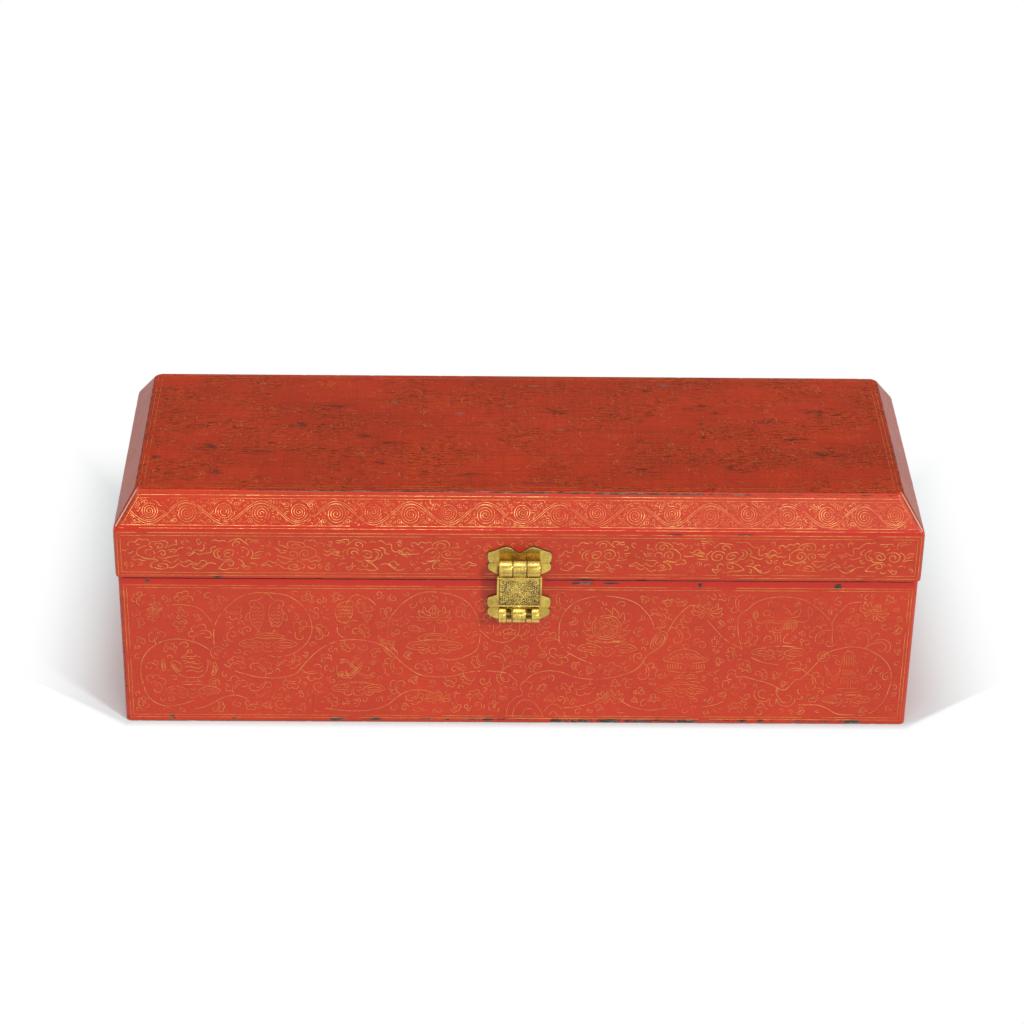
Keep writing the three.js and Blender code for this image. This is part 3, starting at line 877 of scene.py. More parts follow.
# %% A drawing
class Drawing:
    """Strokes of the engraver on one face. worn is the noise below which the gold is gone, and
    reach how many cells each stroke takes to both sides."""

    def __init__(self, face, margin=0.0, worn=-0.32, seed=0.0, reach=1):
        self.face, self.margin, self.worn, self.seed, self.reach = face, margin, worn, seed, reach
        self.strokes, self.map = [], Map()

    def stroke(self, points, width=0.3, step=STEP):
        line = flowing(points, step)
        self.strokes.append((line, width))
        self.map.take(line, self.reach)
        return line

    def motif(self, lines, width=0.22, step=0.45, **placing):
        for line in lines:
            self.stroke(turned(line, **placing), width, step)

    def traced(self, *pixels, width=0.3, step=STEP):
        return self.stroke(self.face.traced(*pixels), width, step)

    def inside(self, points):
        low, high, height = self.face.field
        up, foot = points[:, 1], self.face.foot
        half = low + (high - low) * up / height - self.margin
        return bool(np.all(np.abs(points[:, 0]) < half) and np.all(up > foot + self.margin)
                    and np.all(up < foot + height - self.margin))

    def room_for(self, points):
        return self.inside(points) and self.map.free(points)

    def runs(self, line):
        """The parts of a stroke whose gold is still there."""
        kept, run = [], []
        for x, y in line:
            left = noise.noise(Vector((x * 0.11, y * 0.11, self.seed))) * 0.6
            left += noise.noise(Vector((x * 0.7, y * 0.7, self.seed + 9))) * 0.7
            if left > self.worn:
                run.append((x, y))
            elif run:
                kept.append(run)
                run = []
        return [run for run in kept + [run] if len(run) > 1]

    def gild(self, name, body, finish):
        """Makes the strokes a piece of gold on the face."""
        points, edges, widths = [], [], []
        for line, width in self.strokes:
            for run in self.runs(line):
                start = len(points)
                points += [(x, y, 0) for x, y in run]
                edges += [(start + k, start + k + 1) for k in range(len(run) - 1)]
                at = np.arange(len(run))
                shares = np.minimum(1, 0.55 + 0.35 * np.minimum(at, at[::-1]))
                sway = [0.9 + 0.22 * noise.noise(Vector((x * 0.3, y * 0.3, 4))) for x, y in run]
                widths += list(width * shares * sway)
        mesh = bpy.data.meshes.new(name)
        mesh.from_pydata(points, edges, [])
        carried = mesh.attributes.new("width", "FLOAT", "POINT")
        carried.data.foreach_set("value", np.array(widths, np.float32))
        made = bpy.data.objects.new(name, mesh)
        bpy.context.scene.collection.objects.link(made)
        grown(made, gilding, {gilding_sockets["Height share"]: LINE_RISE,
                              gilding_sockets["Finish"]: finish})
        flat = np.zeros(len(made.data.vertices) * 3, np.float32)
        made.data.vertices.foreach_get("co", flat)
        laid = self.face.lay(flat.reshape(-1, 3)) * MM
        made.data.vertices.foreach_set("co", laid.astype(np.float32).ravel())
        made.data.update()
        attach(made, body)
        triangles = sum(len(p.vertices) - 2 for p in made.data.polygons)
        print(name, "strokes:", len(self.strokes), "triangles:", triangles)


print("a drawing keeps a map of", Map().taken.size, "cells")


# %% [markdown]
# Gold leaf rubbed thin is brighter in some places and browner in others. The finish mixes a clean
# gold with a dull one by noise, and keeps it metallic, so that it answers the light as leaf does.

# %% The gold
RED_THROUGH_GOLD = srgb(190, 92, 46)


def gold(name, bright, dull):
    """Worn gold leaf, half of it bright and half of it dull."""
    material, r, place = new_finish(name)
    worn = r.clouds(place, 4.0, 7.7, detail=4.0, rough=0.6)
    fine = r.clouds(place, 0.6, 2.9)
    dulled = r.step(worn + (fine - 0.5) * 0.5, 0.38, 0.62)
    faded = r.step(r.clouds(place, 30.0, 3.7), 0.42, 0.66) * 0.6
    close_finish(r, {
        "Base Color": r.mix(faded, r.mix(dulled, bright, dull), RED_THROUGH_GOLD),
        "Metallic": 0.85 - dulled * 0.35,
        "Roughness": 0.38 + dulled * 0.2,
    })
    return material


gilt = gold("gilt", srgb(220, 158, 86), srgb(190, 116, 58))
bevel_gilt = gold("bevel_gilt", srgb(230, 182, 112), srgb(198, 132, 70))
faint_gilt = gold("faint_gilt", srgb(196, 132, 58), srgb(160, 88, 38))
print("golds:", gilt.name, bevel_gilt.name, faint_gilt.name)

# %% [markdown]
# ## Motifs
# The ornament is built from a few shapes: a curled leaf with lobes, a leaf with three curls, a
# spiral, a lotus and a cloud. Each is a short list of lines on a unit field that points along +X
# or up, so one shape serves everywhere with another place, size, turn or mirror.

# %% Leaves, lotus and spirals
def mirrored(*lines):
    """Lines and their mirror images across the X axis."""
    return [*lines, *[[(x, -y) for x, y in line] for line in lines]]


def spiral(turns, radius, start=0.0, inner=0.12, hand=1, centre=(0, 0)):
    """A spiral from its outer end inwards."""
    count = max(6, int(turns * 12))
    made = []
    for k in range(count + 1):
        t = k / count
        angle = start + hand * turns * t * 2 * math.pi
        reach = radius * (1 - t * (1 - inner))
        made.append((centre[0] + reach * math.cos(angle), centre[1] + reach * math.sin(angle)))
    return made


LOBED_LEAF = [
    [(0, 0), (0.3, 0.12), (0.6, 0.1), (0.86, -0.06), (0.96, -0.32), (0.84, -0.52), (0.62, -0.5),
     (0.58, -0.32)],
    [(0.26, 0.12), (0.18, 0.32), (0.3, 0.46), (0.46, 0.4), (0.5, 0.24)],
    [(0.48, 0.3), (0.58, 0.48), (0.78, 0.46), (0.84, 0.26)],
    [(0.82, 0.3), (1.04, 0.28), (1.14, 0.06), (1.0, -0.1)],
    [(0.36, 0.02), (0.6, -0.04), (0.74, -0.2)],
]
CURL_PAIR = mirrored(
    [(0.0, 0.03), (0.34, 0.05), (0.5, 0.2), (0.74, 0.44), (0.7, 0.74), (0.46, 0.84), (0.28, 0.7),
     (0.34, 0.52)],
    [(0.58, 0.12), (0.86, 0.3), (0.96, 0.56), (0.9, 0.84), (0.62, 1.04), (0.36, 1.0)],
) + [[(0.62, 0.1), (0.86, 0.16), (1.1, 0.0), (0.86, -0.16), (0.62, -0.1)]]
THREE_CURLS = mirrored(
    [(0.0, 0.03), (0.24, 0.1), (0.3, 0.34), (0.5, 0.48), (0.7, 0.36), (0.66, 0.18), (0.5, 0.2)],
    [(0.24, 0.3), (0.16, 0.5), (0.34, 0.66), (0.56, 0.62)],
) + [
    [(0.7, 0.2), (0.92, 0.3), (1.14, 0.16), (1.12, -0.12), (0.9, -0.26), (0.74, -0.14),
     (0.84, 0.0)],
    [(0.66, -0.22), (0.6, -0.08)],
]
SMALL_CURL = [
    [(0, 0), (0.3, 0.2), (0.66, 0.18), (0.92, -0.08), (0.84, -0.4), (0.54, -0.46), (0.44, -0.22),
     (0.62, -0.12)],
    [(0.3, 0.32), (0.46, 0.52), (0.72, 0.46), (0.78, 0.3)],
]
HOOK = [[(0, 0), (0.34, 0.22), (0.7, 0.2), (0.9, -0.06), (0.74, -0.34), (0.48, -0.24)]]
LOTUS = [
    [(-0.22, 0.08), (-0.27, 0.3), (0, 0.42), (0.27, 0.3), (0.22, 0.08), (0, 0.0), (-0.22, 0.08)],
    [(-0.14, 0.22), (-0.08, 0.3), (-0.02, 0.22)], [(0.02, 0.22), (0.08, 0.3), (0.14, 0.22)],
    [(-0.27, 0.34), (-0.34, 0.62), (-0.14, 0.86), (0, 1.06), (0.14, 0.86), (0.34, 0.62),
     (0.27, 0.34)],
    [(-0.12, 0.5), (-0.1, 0.7), (0, 0.86), (0.1, 0.7), (0.12, 0.5)],
]
for flip in (1, -1):
    LOTUS += [[(flip * x, y) for x, y in line] for line in [
        [(0.3, 0.42), (0.54, 0.56), (0.62, 0.78), (0.72, 0.92), (0.8, 0.62), (0.66, 0.3),
         (0.26, 0.14)],
        [(0.72, 0.42), (0.9, 0.46), (1.1, 0.6), (1.06, 0.26), (0.78, 0.04), (0.3, 0.02)],
        [(0.86, 0.06), (1.08, -0.02), (1.22, 0.1), (1.04, -0.26), (0.66, -0.26), (0.2, -0.06)],
        [(0.5, -0.24), (0.56, -0.42), (0.36, -0.5), (0.26, -0.36), (0.1, -0.12)],
    ]]
LEAVES = [LOBED_LEAF, CURL_PAIR, THREE_CURLS]
FILLING = (SMALL_CURL, LOBED_LEAF, THREE_CURLS)
print("leaf lines:", [len(leaf) for leaf in LEAVES], "lotus lines:", len(LOTUS))


# %% [markdown]
# Leaves grow from both sides of a vine. Each place is tried with a few shapes, sizes and angles,
# and the first leaf that has room is drawn. Then the empty spots left between are filled with
# small curls, as an engraver fills them. The draws are seeded, so every run gives the same box.

# %% Setting leaves
LEAF_PEN, SIGN_PEN, VINE_PEN, BORDER_PEN = 0.37, 0.36, 0.5, 0.4
LEAF_SPACING, LEAF_SIZE = 10.0, 10.5
covered = {}


def cover_of(shape):
    """Even points over a motif's outer part, worked out once."""
    if id(shape) not in covered:
        points = np.concatenate([flowing(line, 0.06) for line in shape])
        covered[id(shape)] = points[np.linalg.norm(points, axis=1) > 0.3]
    return covered[id(shape)]


def try_leaf(drawing, rng, base, angle, size, shapes, width=LEAF_PEN, shares=(1.0, 0.8, 0.62)):
    """Draws a leaf at base if there is room. Its first part may touch the vine it grows from."""
    for share in shares:
        shape = rng.choice(shapes)
        placing = {"centre": base, "size": size * share, "angle": angle,
                   "flip": rng.choice((-1, 1))}
        if drawing.room_for(turned(cover_of(shape), **placing)):
            drawing.motif(shape, width, **placing)
            return True
    return False


def leaves_along(drawing, rng, line):
    """Leaves on both sides of a vine."""
    every = int(LEAF_SPACING / STEP)
    made = 0
    for k in range(every // 3, len(line) - 1, every):
        ahead = line[min(k + 1, len(line) - 1)] - line[max(k - 1, 0)]
        along = math.atan2(ahead[1], ahead[0])
        for side in (1, -1):
            for swing in (0.9, 0.55, 1.3, 1.9):
                if try_leaf(drawing, rng, line[k], along + side * swing, LEAF_SIZE, LEAVES):
                    made += 1
                    break
    return made


def fill_gaps(drawing, rng, spacing=5.0, size=7.0, shapes=FILLING, width=LEAF_PEN):
    """Small curls wherever a whole one fits."""
    (low, high, height), foot = drawing.face.field, drawing.face.foot
    made = 0
    spots = [(x, y) for y in np.arange(foot + 3, foot + height, spacing)
             for x in np.arange(-low + 3, low, spacing)]
    rng.shuffle(spots)
    for spot in spots:
        at = np.array(spot) + (rng.uniform(-1, 1), rng.uniform(-1, 1))
        if not drawing.map.free([at]):
            continue
        for _ in range(3):
            angle, share = rng.uniform(0, 2 * math.pi), rng.uniform(0.8, 1.1)
            if try_leaf(drawing, rng, at, angle, size * share, shapes, width, (1.0, 0.7)):
                made += 1
                break
    return made


def border(drawing, insets, width=BORDER_PEN, above=0.0):
    """Closed lines at the given distances from the face's edge, and lower on top by above."""
    (low, high, height), foot = drawing.face.field, drawing.face.foot
    slope = (low - high) / height
    for inset in insets:
        side = inset * math.hypot(1, slope)
        wide, narrow = low - slope * inset - side, high + slope * inset - side
        top = foot + height - inset - above
        corners = [(-wide, foot + inset), (wide, foot + inset), (narrow, top), (-narrow, top)]
        for start, end in zip(corners, corners[1:] + corners[:1]):
            drawing.stroke([start, end], width, STRAIGHT_STEP)


print("a leaf every", LEAF_SPACING, "mm, about", LEAF_SIZE, "mm long")

# %% [markdown]
# ## The scroll on the front
# On the front a lotus vine carries the eight lucky signs of such boxes: a conch, two fish, an
# endless knot, a lotus, a wheel, a parasol, a vase and a banner, each on a seat of petals. The
# conch is drawn much like a covered vessel here. The vine could be generated, but the eye follows
# it, so its main lines go through points found on the photograph. The leaves are then grown by
# rule.

# %% Vines of the front
CASE_BORDER, BELOW_SEAM = (2.7, 4.2), 1.7
front_art = Drawing(case_faces["front"], margin=5.0, worn=-0.4, seed=1.0)
border(front_art, CASE_BORDER, above=BELOW_SEAM)
front_vines = [
    [(141, 677), (141, 668), (143, 658), (151, 648), (164, 641), (179, 639), (197, 643),
     (210, 650)],
    [(224, 664), (233, 670), (245, 674), (258, 677), (276, 678), (289, 676), (297, 673)],
    [(141, 677), (147, 694), (155, 702), (167, 706), (182, 704), (195, 700)],
    [(194, 709), (207, 706), (220, 699), (235, 695), (248, 699)],
    [(214, 645), (214, 630), (218, 618), (228, 606), (240, 597), (254, 593), (271, 593), (288, 596),
     (302, 605), (309, 615), (312, 629), (308, 641), (299, 650), (289, 655), (277, 657),
     (268, 655)],
    [(297, 673), (308, 660), (319, 650), (332, 643), (345, 640), (361, 640), (376, 643), (389, 650),
     (399, 660), (410, 669), (421, 675), (438, 677), (453, 676), (470, 672), (489, 671), (500, 672),
     (508, 674), (517, 681)],
    [(345, 639), (338, 633), (337, 624)],
    [(388, 640), (389, 621), (397, 609), (407, 600), (421, 593), (435, 592), (453, 595), (467, 602),
     (476, 614), (480, 630), (479, 643), (475, 651), (464, 657), (450, 660), (439, 658)],
    [(325, 708), (338, 710), (354, 711), (371, 710), (387, 705), (397, 697), (408, 691), (421, 690),
     (435, 693)],
    [(592, 664), (578, 658), (566, 651), (560, 643), (559, 632), (561, 619), (570, 606), (584, 599),
     (602, 596), (621, 598), (636, 603), (645, 611), (651, 619), (655, 630)],
    [(668, 632), (661, 646), (648, 655), (638, 668), (625, 674), (610, 678), (587, 679), (572, 676),
     (560, 672), (546, 671), (532, 675), (521, 685)],
    [(742, 649), (739, 638), (738, 628), (739, 617), (748, 609), (757, 602), (770, 598), (787, 597),
     (804, 600), (816, 607), (826, 616), (832, 625), (832, 644)],
    [(832, 624), (836, 616), (843, 609), (851, 603), (866, 602)],
    [(823, 656), (829, 652), (839, 649), (851, 647), (866, 649), (878, 655), (887, 663), (891, 673),
     (891, 683)],
    [(823, 656), (815, 665), (801, 679), (795, 680), (784, 690), (770, 684), (756, 680),
     (742, 676)],
    [(748, 656), (762, 662), (779, 665)], [(700, 707), (714, 705), (724, 701)],
    [(798, 705), (816, 705), (826, 708), (837, 714), (854, 715)],
    [(742, 649), (726, 640), (716, 630), (707, 620)],
    [(156, 614), (166, 606), (184, 605), (200, 609), (212, 622)],
    [(346, 604), (355, 595), (369, 599), (376, 605)],
    [(668, 632), (676, 618), (690, 606), (703, 606)],
    [(610, 690), (598, 700), (580, 706), (563, 708)],
    [(610, 690), (626, 704), (646, 710), (668, 708)],
    [(891, 683), (884, 700), (872, 712), (858, 716)],
    [(480, 630), (492, 640), (506, 642), (518, 634), (520, 620)],
]
front_lines = [front_art.traced(*vine, width=VINE_PEN) for vine in front_vines]
print("vine length:", round(sum(len(line) for line in front_lines) * STEP / 1000, 2), "m")


# %% [markdown]
# The signs are drawn stroke by stroke at their own pixels, with the hatching that fills them on
# the box. A motif could be stretched over each, but the signs are what people look at first. They
# come before the leaves, so that the leaves keep clear of them.

# %% Pens for the signs
front_plane = front_art.face


def pen(*pixels):
    front_art.traced(*pixels, width=SIGN_PEN, step=0.4)


def mirrored_pens(middle, *lines):
    """Strokes given by how far they are from an upright line, drawn on its left, then its right."""
    for side in (-1, 1):
        for line in lines:
            pen(*[(middle + side * x, y) for x, y in line])


def both(middle, *points):
    """The same stroke on both sides of an upright line."""
    pen(*points)
    pen(*[(2 * middle - x, y) for x, y in points])


def shape(*pixels, echoes=(0.55,)):
    """A closed outline with smaller copies inside it, as veins."""
    middle = np.mean(pixels, axis=0)
    for share in (1.0, *echoes):
        ring = [tuple(middle + (np.array(p) - middle) * share) for p in pixels]
        pen(*ring, ring[0])


def hatch(first, last, reach, count):
    """Short upright strokes from one pixel to another."""
    for t in np.linspace(0, 1, count):
        x, y = np.array(first) + (np.array(last) - np.array(first)) * t
        pen((x, y - reach), (x + 0.3, y + reach))


def ring_at(x, y, radius, share=1.0, start=0.0):
    """A round line about a pixel, with its radius in millimetres."""
    turns = start + np.linspace(0, 2 * math.pi * share, 25)
    centre = front_plane.traced((x, y))[0]
    circle = np.column_stack([np.cos(turns), np.sin(turns)]) * radius + centre
    front_art.stroke(circle, SIGN_PEN, 0.35)


def sign_motif(lines, x, y, width=SIGN_PEN, **placing):
    """A motif about a pixel."""
    front_art.motif(lines, width, centre=front_plane.traced((x, y))[0], **placing)


def coil(x, y, radius, turns=1.6, start=0.5):
    """A small spiral about a pixel."""
    sign_motif([spiral(turns, radius, start=start)], x, y)


# the seat, lying on its side, so that its two halves mirror across the X axis
SEAT = mirrored(
    [(0.0, -1.0), (0.17, -0.74), (0.13, -0.4), (-0.04, -0.16), (-0.16, -0.44), (-0.13, -0.78),
     (0.0, -1.0)],
    [(0.0, -0.88), (0.07, -0.62), (0.02, -0.34)], [(-0.05, -0.8), (-0.07, -0.56), (-0.06, -0.36)],
    [(-0.16, -0.56), (-0.29, -0.48), (-0.29, -0.3), (-0.16, -0.22)], [(-0.2, -0.42), (-0.2, -0.34)],
    [(0.2, -0.62), (0.25, -0.3), (0.26, -0.02)],
) + [[(-0.14, -0.2), (-0.3, -0.12), (-0.3, 0.1), (-0.14, 0.18)],
     [(0.08, -0.12), (0.02, 0.0), (0.08, 0.12)],
     [(-0.04, -0.08), (-0.16, 0.0), (-0.04, 0.08)]]


def seat(name, x, y, half):
    """Ends a sign with its seat of two spread leaves over low curls. half is in millimetres."""
    sign_motif([[(v, u) for u, v in line] for line in SEAT], x, y, size=half)
    print(name, "done, strokes so far:", len(front_art.strokes))


print("lines of a seat:", len(SEAT))

# %% [markdown]
# Now each sign in turn, from the left to the right of the box.

# %% Conch
coil(189.4, 651.4, 1.5, start=-1.6)
pen((181.6, 657), (186, 654.4), (188, 651), (191.6, 650), (193.4, 654.4), (200.6, 657))
pen((180.8, 657.4), (190.5, 658.6), (201, 657.4))
pen((183, 655.8), (190.5, 656.8), (198, 655.8))
pen((182.4, 660.4), (190.5, 661.6), (200.4, 660.4))
pen((171.2, 662), (174, 660.6), (178.4, 662), (181.6, 665.6), (181, 669.6))
for slip in (0.0, 2.0, 4.0):
    pen((171 + slip, 663 + 0.3 * slip), (172.4 + slip, 667 + 0.2 * slip),
        (177 + slip, 671.6 + 0.2 * slip))
pen((171.2, 662), (173, 668), (178, 673.4), (185.5, 677), (199.4, 677), (205.6, 672.4), (208, 665),
    (207.7, 660))
pen((184, 663.6), (190, 662.4), (198, 664), (202, 662.6))
pen((184, 667.4), (190, 666.6), (198, 668.4), (203, 666))
pen((186, 671.4), (192, 670.4), (199, 672), (203.4, 670))
shape((162, 658), (164, 661), (165.6, 667), (163.4, 671), (161.6, 665), echoes=(0.5,))
pen((165, 667.4), (168, 670.4), (171.4, 669.6))
shape((214.2, 662), (217, 666), (216.4, 672), (211.8, 676), (212.8, 669), echoes=(0.5,))
pen((207, 661), (209.6, 660.6), (211, 663.4), (209.4, 666))
both(192.8, (187, 677.6), (187.6, 680), (185, 681.4))
pen((181.8, 681.9), (203.1, 681.9))
pen((183, 684.2), (202, 684.2))
seat("conch", 193, 690.4, 14.2)

# %% Pair of fish
scales = []
for row in range(6):
    reach = 3.4 + 2.2 * math.sin(0.4 + row * 0.5)
    y = 606.6 + 3.6 * row
    for step_in in (-1, 1):
        x = -9.8 + 0.3 * row + step_in * reach * 0.5
        scales.append([(x - reach * 0.45, y), (x, 608.8 + 3.6 * row), (x + reach * 0.45, y)])
mirrored_pens(
    266.4,
    [(-3.2, 595), (-6, 598.6), (-9, 600), (-15, 600.6), (-17.4, 604), (-14.6, 607), (-11.6, 604.6)],
    [(-14.6, 607), (-16.6, 613), (-16, 620), (-12.4, 626.6), (-8, 630), (-10.6, 633)],
    [(-9, 601), (-3.6, 606), (-2.4, 613), (-3.6, 621), (-8, 630)], [(-13.4, 603), (-12.6, 603.6)],
    *scales,
    [(-16.8, 612), (-20, 615), (-21, 620), (-17.6, 619.4)], [(-8, 630), (-5, 633.4), (-1.6, 632.6)],
)
pen((263, 595), (266.4, 593.8), (269.8, 595))
pen((255, 636), (262, 633.4), (272, 633.2), (284.6, 636.4), (275, 638.6), (262, 638.6), (255, 636))
pen((259, 636), (270, 635.2), (281, 636.4))
seat("pair of fish", 268, 644, 14.8)

# %% Endless knot
for slip in (0.0, 2.4):
    for band in [
        [(340, 660.4), (346, 659.4), (353, 665), (360, 671.6), (367, 675.6), (373.6, 674)],
        [(340, 674), (347, 675.2), (354, 669.4), (361, 663), (367.4, 660), (374, 661.6)],
        [(350, 665), (356.6, 658.6), (363, 663.6), (357, 670), (350, 676), (345, 669)],
    ]:
        pen(*[(x, y + slip) for x, y in band])
for x, y in [(341.6, 661.6), (341.4, 674), (373.2, 663), (373, 675), (357, 657.6)]:
    coil(x, y, 1.7)
pen((337.6, 664), (336.8, 670), (338.4, 677))
for k in range(12):
    pen((338.4 + 2.9 * k, 681), (339.8 + 2.9 * k, 681.4))
seat("endless knot", 358.4, 688.4, 13.8)

# %% Lotus
sign_motif(LOTUS, 434, 617.6, size=7.2)
pen((433.8, 624.6), (434.6, 630), (433.4, 633.4))
shape((417.5, 638.6), (424.9, 634.4), (434.1, 633.3), (443.4, 635.1), (447.3, 639), (439.7, 640.6),
      (424, 640.6), echoes=(0.6,))
shape((408.2, 627.9), (413.6, 625.4), (420, 628), (425.4, 630.7), (417, 631.8), (411, 630.6))
pen((444.6, 621), (448, 626), (447, 632), (443.6, 634))
seat("lotus", 434.4, 646, 14.6)

# %% Wheel in flames
hub_at = (606.4, 627.4)
for radius in (6.0, 7.4):
    ring_at(*hub_at, radius)
coil(604.6, 627.4, 1.5)
for k in range(8):
    sign_motif([[(1.9, -0.3), (4.2, -1.0), (5.3, 0.0), (4.2, 1.0), (1.9, 0.3)]], *hub_at,
               angle=k * math.pi / 4)
hub = front_plane.traced(hub_at)[0]
for k in range(11):
    turn = math.radians(-50 + 28 * k)
    curve = 1 if math.cos(turn) > 0 else -1
    for tongue in ([(8.2, -0.24), (9.6, -0.2), (11.0, 0.0), (12.6, 0.24)],
                   [(8.2, 0.14), (9.4, 0.16), (10.8, 0.22), (12.6, 0.24)]):
        flame = [hub + r * np.array([math.cos(turn + curve * a), math.sin(turn + curve * a)])
                 for r, a in tongue]
        front_art.stroke(flame, SIGN_PEN, 0.35)
both(606.4, (596, 617.6), (600, 616.4), (606.4, 618.2))
pen((586, 642.4), (596, 641), (607, 642.6), (618, 641), (627, 642.4))
seat("wheel", 607, 648.4, 15.2)

# %% Parasol
ring_at(685.9, 646.2, 1.5)
pen((665.6, 658), (671, 653.8), (678.5, 650.1), (686, 649.2), (694.2, 651), (700.7, 655.6),
    (707.2, 659.4))
pen((668, 659.6), (676, 655.6), (680, 654), (692, 654), (697, 656), (704, 660))
for radius in (1.5, 3.0):
    ring_at(684.8, 659, radius, 0.5)
    ring_at(676, 660.4, radius * 0.8, 0.5)
    ring_at(694.4, 660.4, radius * 0.8, 0.5)
pen((666, 661), (676, 663), (686, 663.6), (697, 663), (706, 661.4))
hatch((667.4, 666.6), (704, 666.6), 2.6, 15)
pen((667, 670.4), (676, 672), (686, 672.4), (697, 672), (704.6, 670.4))
both(686, (705.6, 662), (708.6, 659.4), (707.6, 656.8))
for y, half in [(675, 9), (678.6, 13), (682.2, 15)]:
    pen((686 - half, y + 0.6), (686 - half / 2, y - 0.6), (686, y + 0.4),
        (686 + half / 2, y - 0.6), (686 + half, y + 0.6))
hatch((676, 677), (696, 677), 1.0, 7)
pen((706, 671), (712, 673.4), (717, 671), (721, 669.6))
pen((706, 673.4), (712, 675.6), (717, 673.6), (721, 672))
seat("parasol", 681.4, 690, 13.6)

# %% Vase
coil(781.8, 605.6, 2.0, turns=1.3, start=2.6)
pen((773.4, 615.4), (775, 611), (777.4, 608.6), (786.6, 608.6), (789.4, 611.4), (791.4, 614))
pen((774, 612.4), (781, 613.6), (789, 612))
pen((770.6, 616.6), (781.6, 618.8), (795.4, 617.6))
for y in (620.4, 622.4):
    pen((768, y), (781.6, y + 0.8), (797, y))
pen((767.7, 621), (766.4, 626.1), (769.6, 630.7), (774.2, 633.5), (775.1, 641.4), (769.6, 642.8))
pen((797, 621.4), (796.4, 627), (791.8, 631.6), (785.3, 636.2), (783.6, 642.2), (791, 643.2))
hatch((784.6, 626.6), (794.6, 625.6), 3.4, 7)
for radius in (1.6, 2.9):
    ring_at(777.9, 628, radius, 0.7, start=2.6)
pen((777.4, 634.6), (777.8, 642))
pen((780.4, 634.6), (780.6, 642))
shape((752.9, 616), (755.7, 609.4), (758.5, 614), (756.6, 617.8))
pen((754, 618), (757.6, 622.4), (762.6, 623), (766.6, 620.4))
ring_at(766.8, 613.1, 1.7)
pen((791, 615), (800.1, 609.4), (799.6, 615), (795, 618))
pen((797, 621.6), (804.7, 622), (808.8, 617.7), (808, 609.4), (810.3, 607.6), (812.6, 614),
    (809.4, 616))
pen((772, 646.6), (783, 645.8), (795.5, 646.8))
seat("vase", 779.4, 652.4, 14.4)

# %% Banner of victory
pen((848.6, 649.4), (847, 651.6), (851.8, 651.6))
pen((842.6, 661), (843.4, 655.6), (847.4, 651.8), (851.8, 651.8), (854.6, 655.6), (855.4, 661))
for k in range(5):
    pen((844.6 + 2.2 * k, 655 - 0.6 * (k % 2)), (844 + 2.4 * k, 666))
mirrored_pens(
    849, [(6, 661), (8.6, 664.6), (12, 664), (13.6, 661.4), (11, 660.6), (9, 662.6)],
    [(6.6, 669.6), (9.4, 672), (11, 677), (14.6, 680), (18.6, 679), (22, 673.4), (21, 667)],
    [(8, 669), (11.6, 674), (15, 677), (18, 675.6), (20, 671.4), (23.6, 668.4), (24, 664.8)],
    [(6.6, 666), (9.6, 668.6), (8.4, 671)],
)
hatch((843.4, 672.6), (854.8, 672.6), 3.0, 7)
pen((840.4, 679), (845, 677.4), (849, 679), (853, 677.4), (857.6, 679))
hatch((840.6, 682), (857.4, 682), 2.0, 8)
both(849, (847.6, 685), (847.6, 689))
pen((836.4, 690), (842, 688.6), (856, 688.6), (861.4, 690), (856, 692), (842, 692), (836.4, 690))
pen((836.8, 694.6), (849, 695.6), (861.2, 694.6))
seat("banner", 846, 699.8, 12.8)

# %% [markdown]
# Between the signs the vine carries a fruit bud, large leaves, eyes and blooms, and a rock stands
# in the middle of the ground.

# %% Buds, leaves, blooms and the rock
shape((352.7, 602), (347.2, 601.1), (339.8, 603.9), (335.2, 609.4), (335.6, 615), (338.6, 621),
      (346.3, 622), (351.8, 616), (352.9, 608.5), echoes=())
for row in range(4):
    for k in range(5):
        pen(*[(x + 3.1 * k - 0.4 * row, y + 3.4 * row)
              for x, y in [(337.4, 605.6), (338.8, 607.6), (340.2, 605.6)]])
pen((338.6, 621), (346.3, 623.4), (352, 620.6), (357.6, 620.8))
shape((377.7, 635.3), (380.5, 641.8), (384.2, 650.1), (391.6, 656.6), (396.2, 656.6), (397.1, 652),
      (393.4, 647.3), (394.4, 641.8), (388.8, 640.9), (382.3, 639), echoes=(0.72, 0.4))
shape((664.6, 631.6), (667, 638.1), (660.1, 647), (652.6, 649.2), (650.8, 643.6), (656.3, 634.4),
      echoes=(0.7, 0.38))
for x, y, radius in [(217.9, 652.8, 3.7), (214.4, 682.6, 2.7), (823.4, 656.8, 3.0)]:
    ring_at(x, y, radius)
    coil(x, y, radius * 0.6)
for x, y, size, angle in [(156, 612, 5.0, 1.2), (438, 699, 5.4, 0), (610, 699, 6.0, 0),
                          (707, 613, 6.6, -0.1), (873, 613.6, 6.4, -0.5), (524, 612, 4.4, 0)]:
    sign_motif(LOTUS, x, y, LEAF_PEN, size=size, angle=angle)
for line in [[(506, 717), (508, 706), (515, 698), (523, 694), (520, 687), (524, 681), (532, 684),
              (530, 690)],
             [(512, 717), (515, 707), (523, 700), (533, 702), (540, 710), (543, 717)],
             [(521, 717), (526, 709), (533, 710), (536, 717)],
             [(543, 712), (552, 704), (561, 708), (566, 717)],
             [(548, 717), (553, 711), (559, 717)]]:
    pen(*line)
print("strokes of the front:", len(front_art.strokes))

# %% [markdown]
# Last come the leaves of the vine, then two rounds of filling, the second with smaller curls.

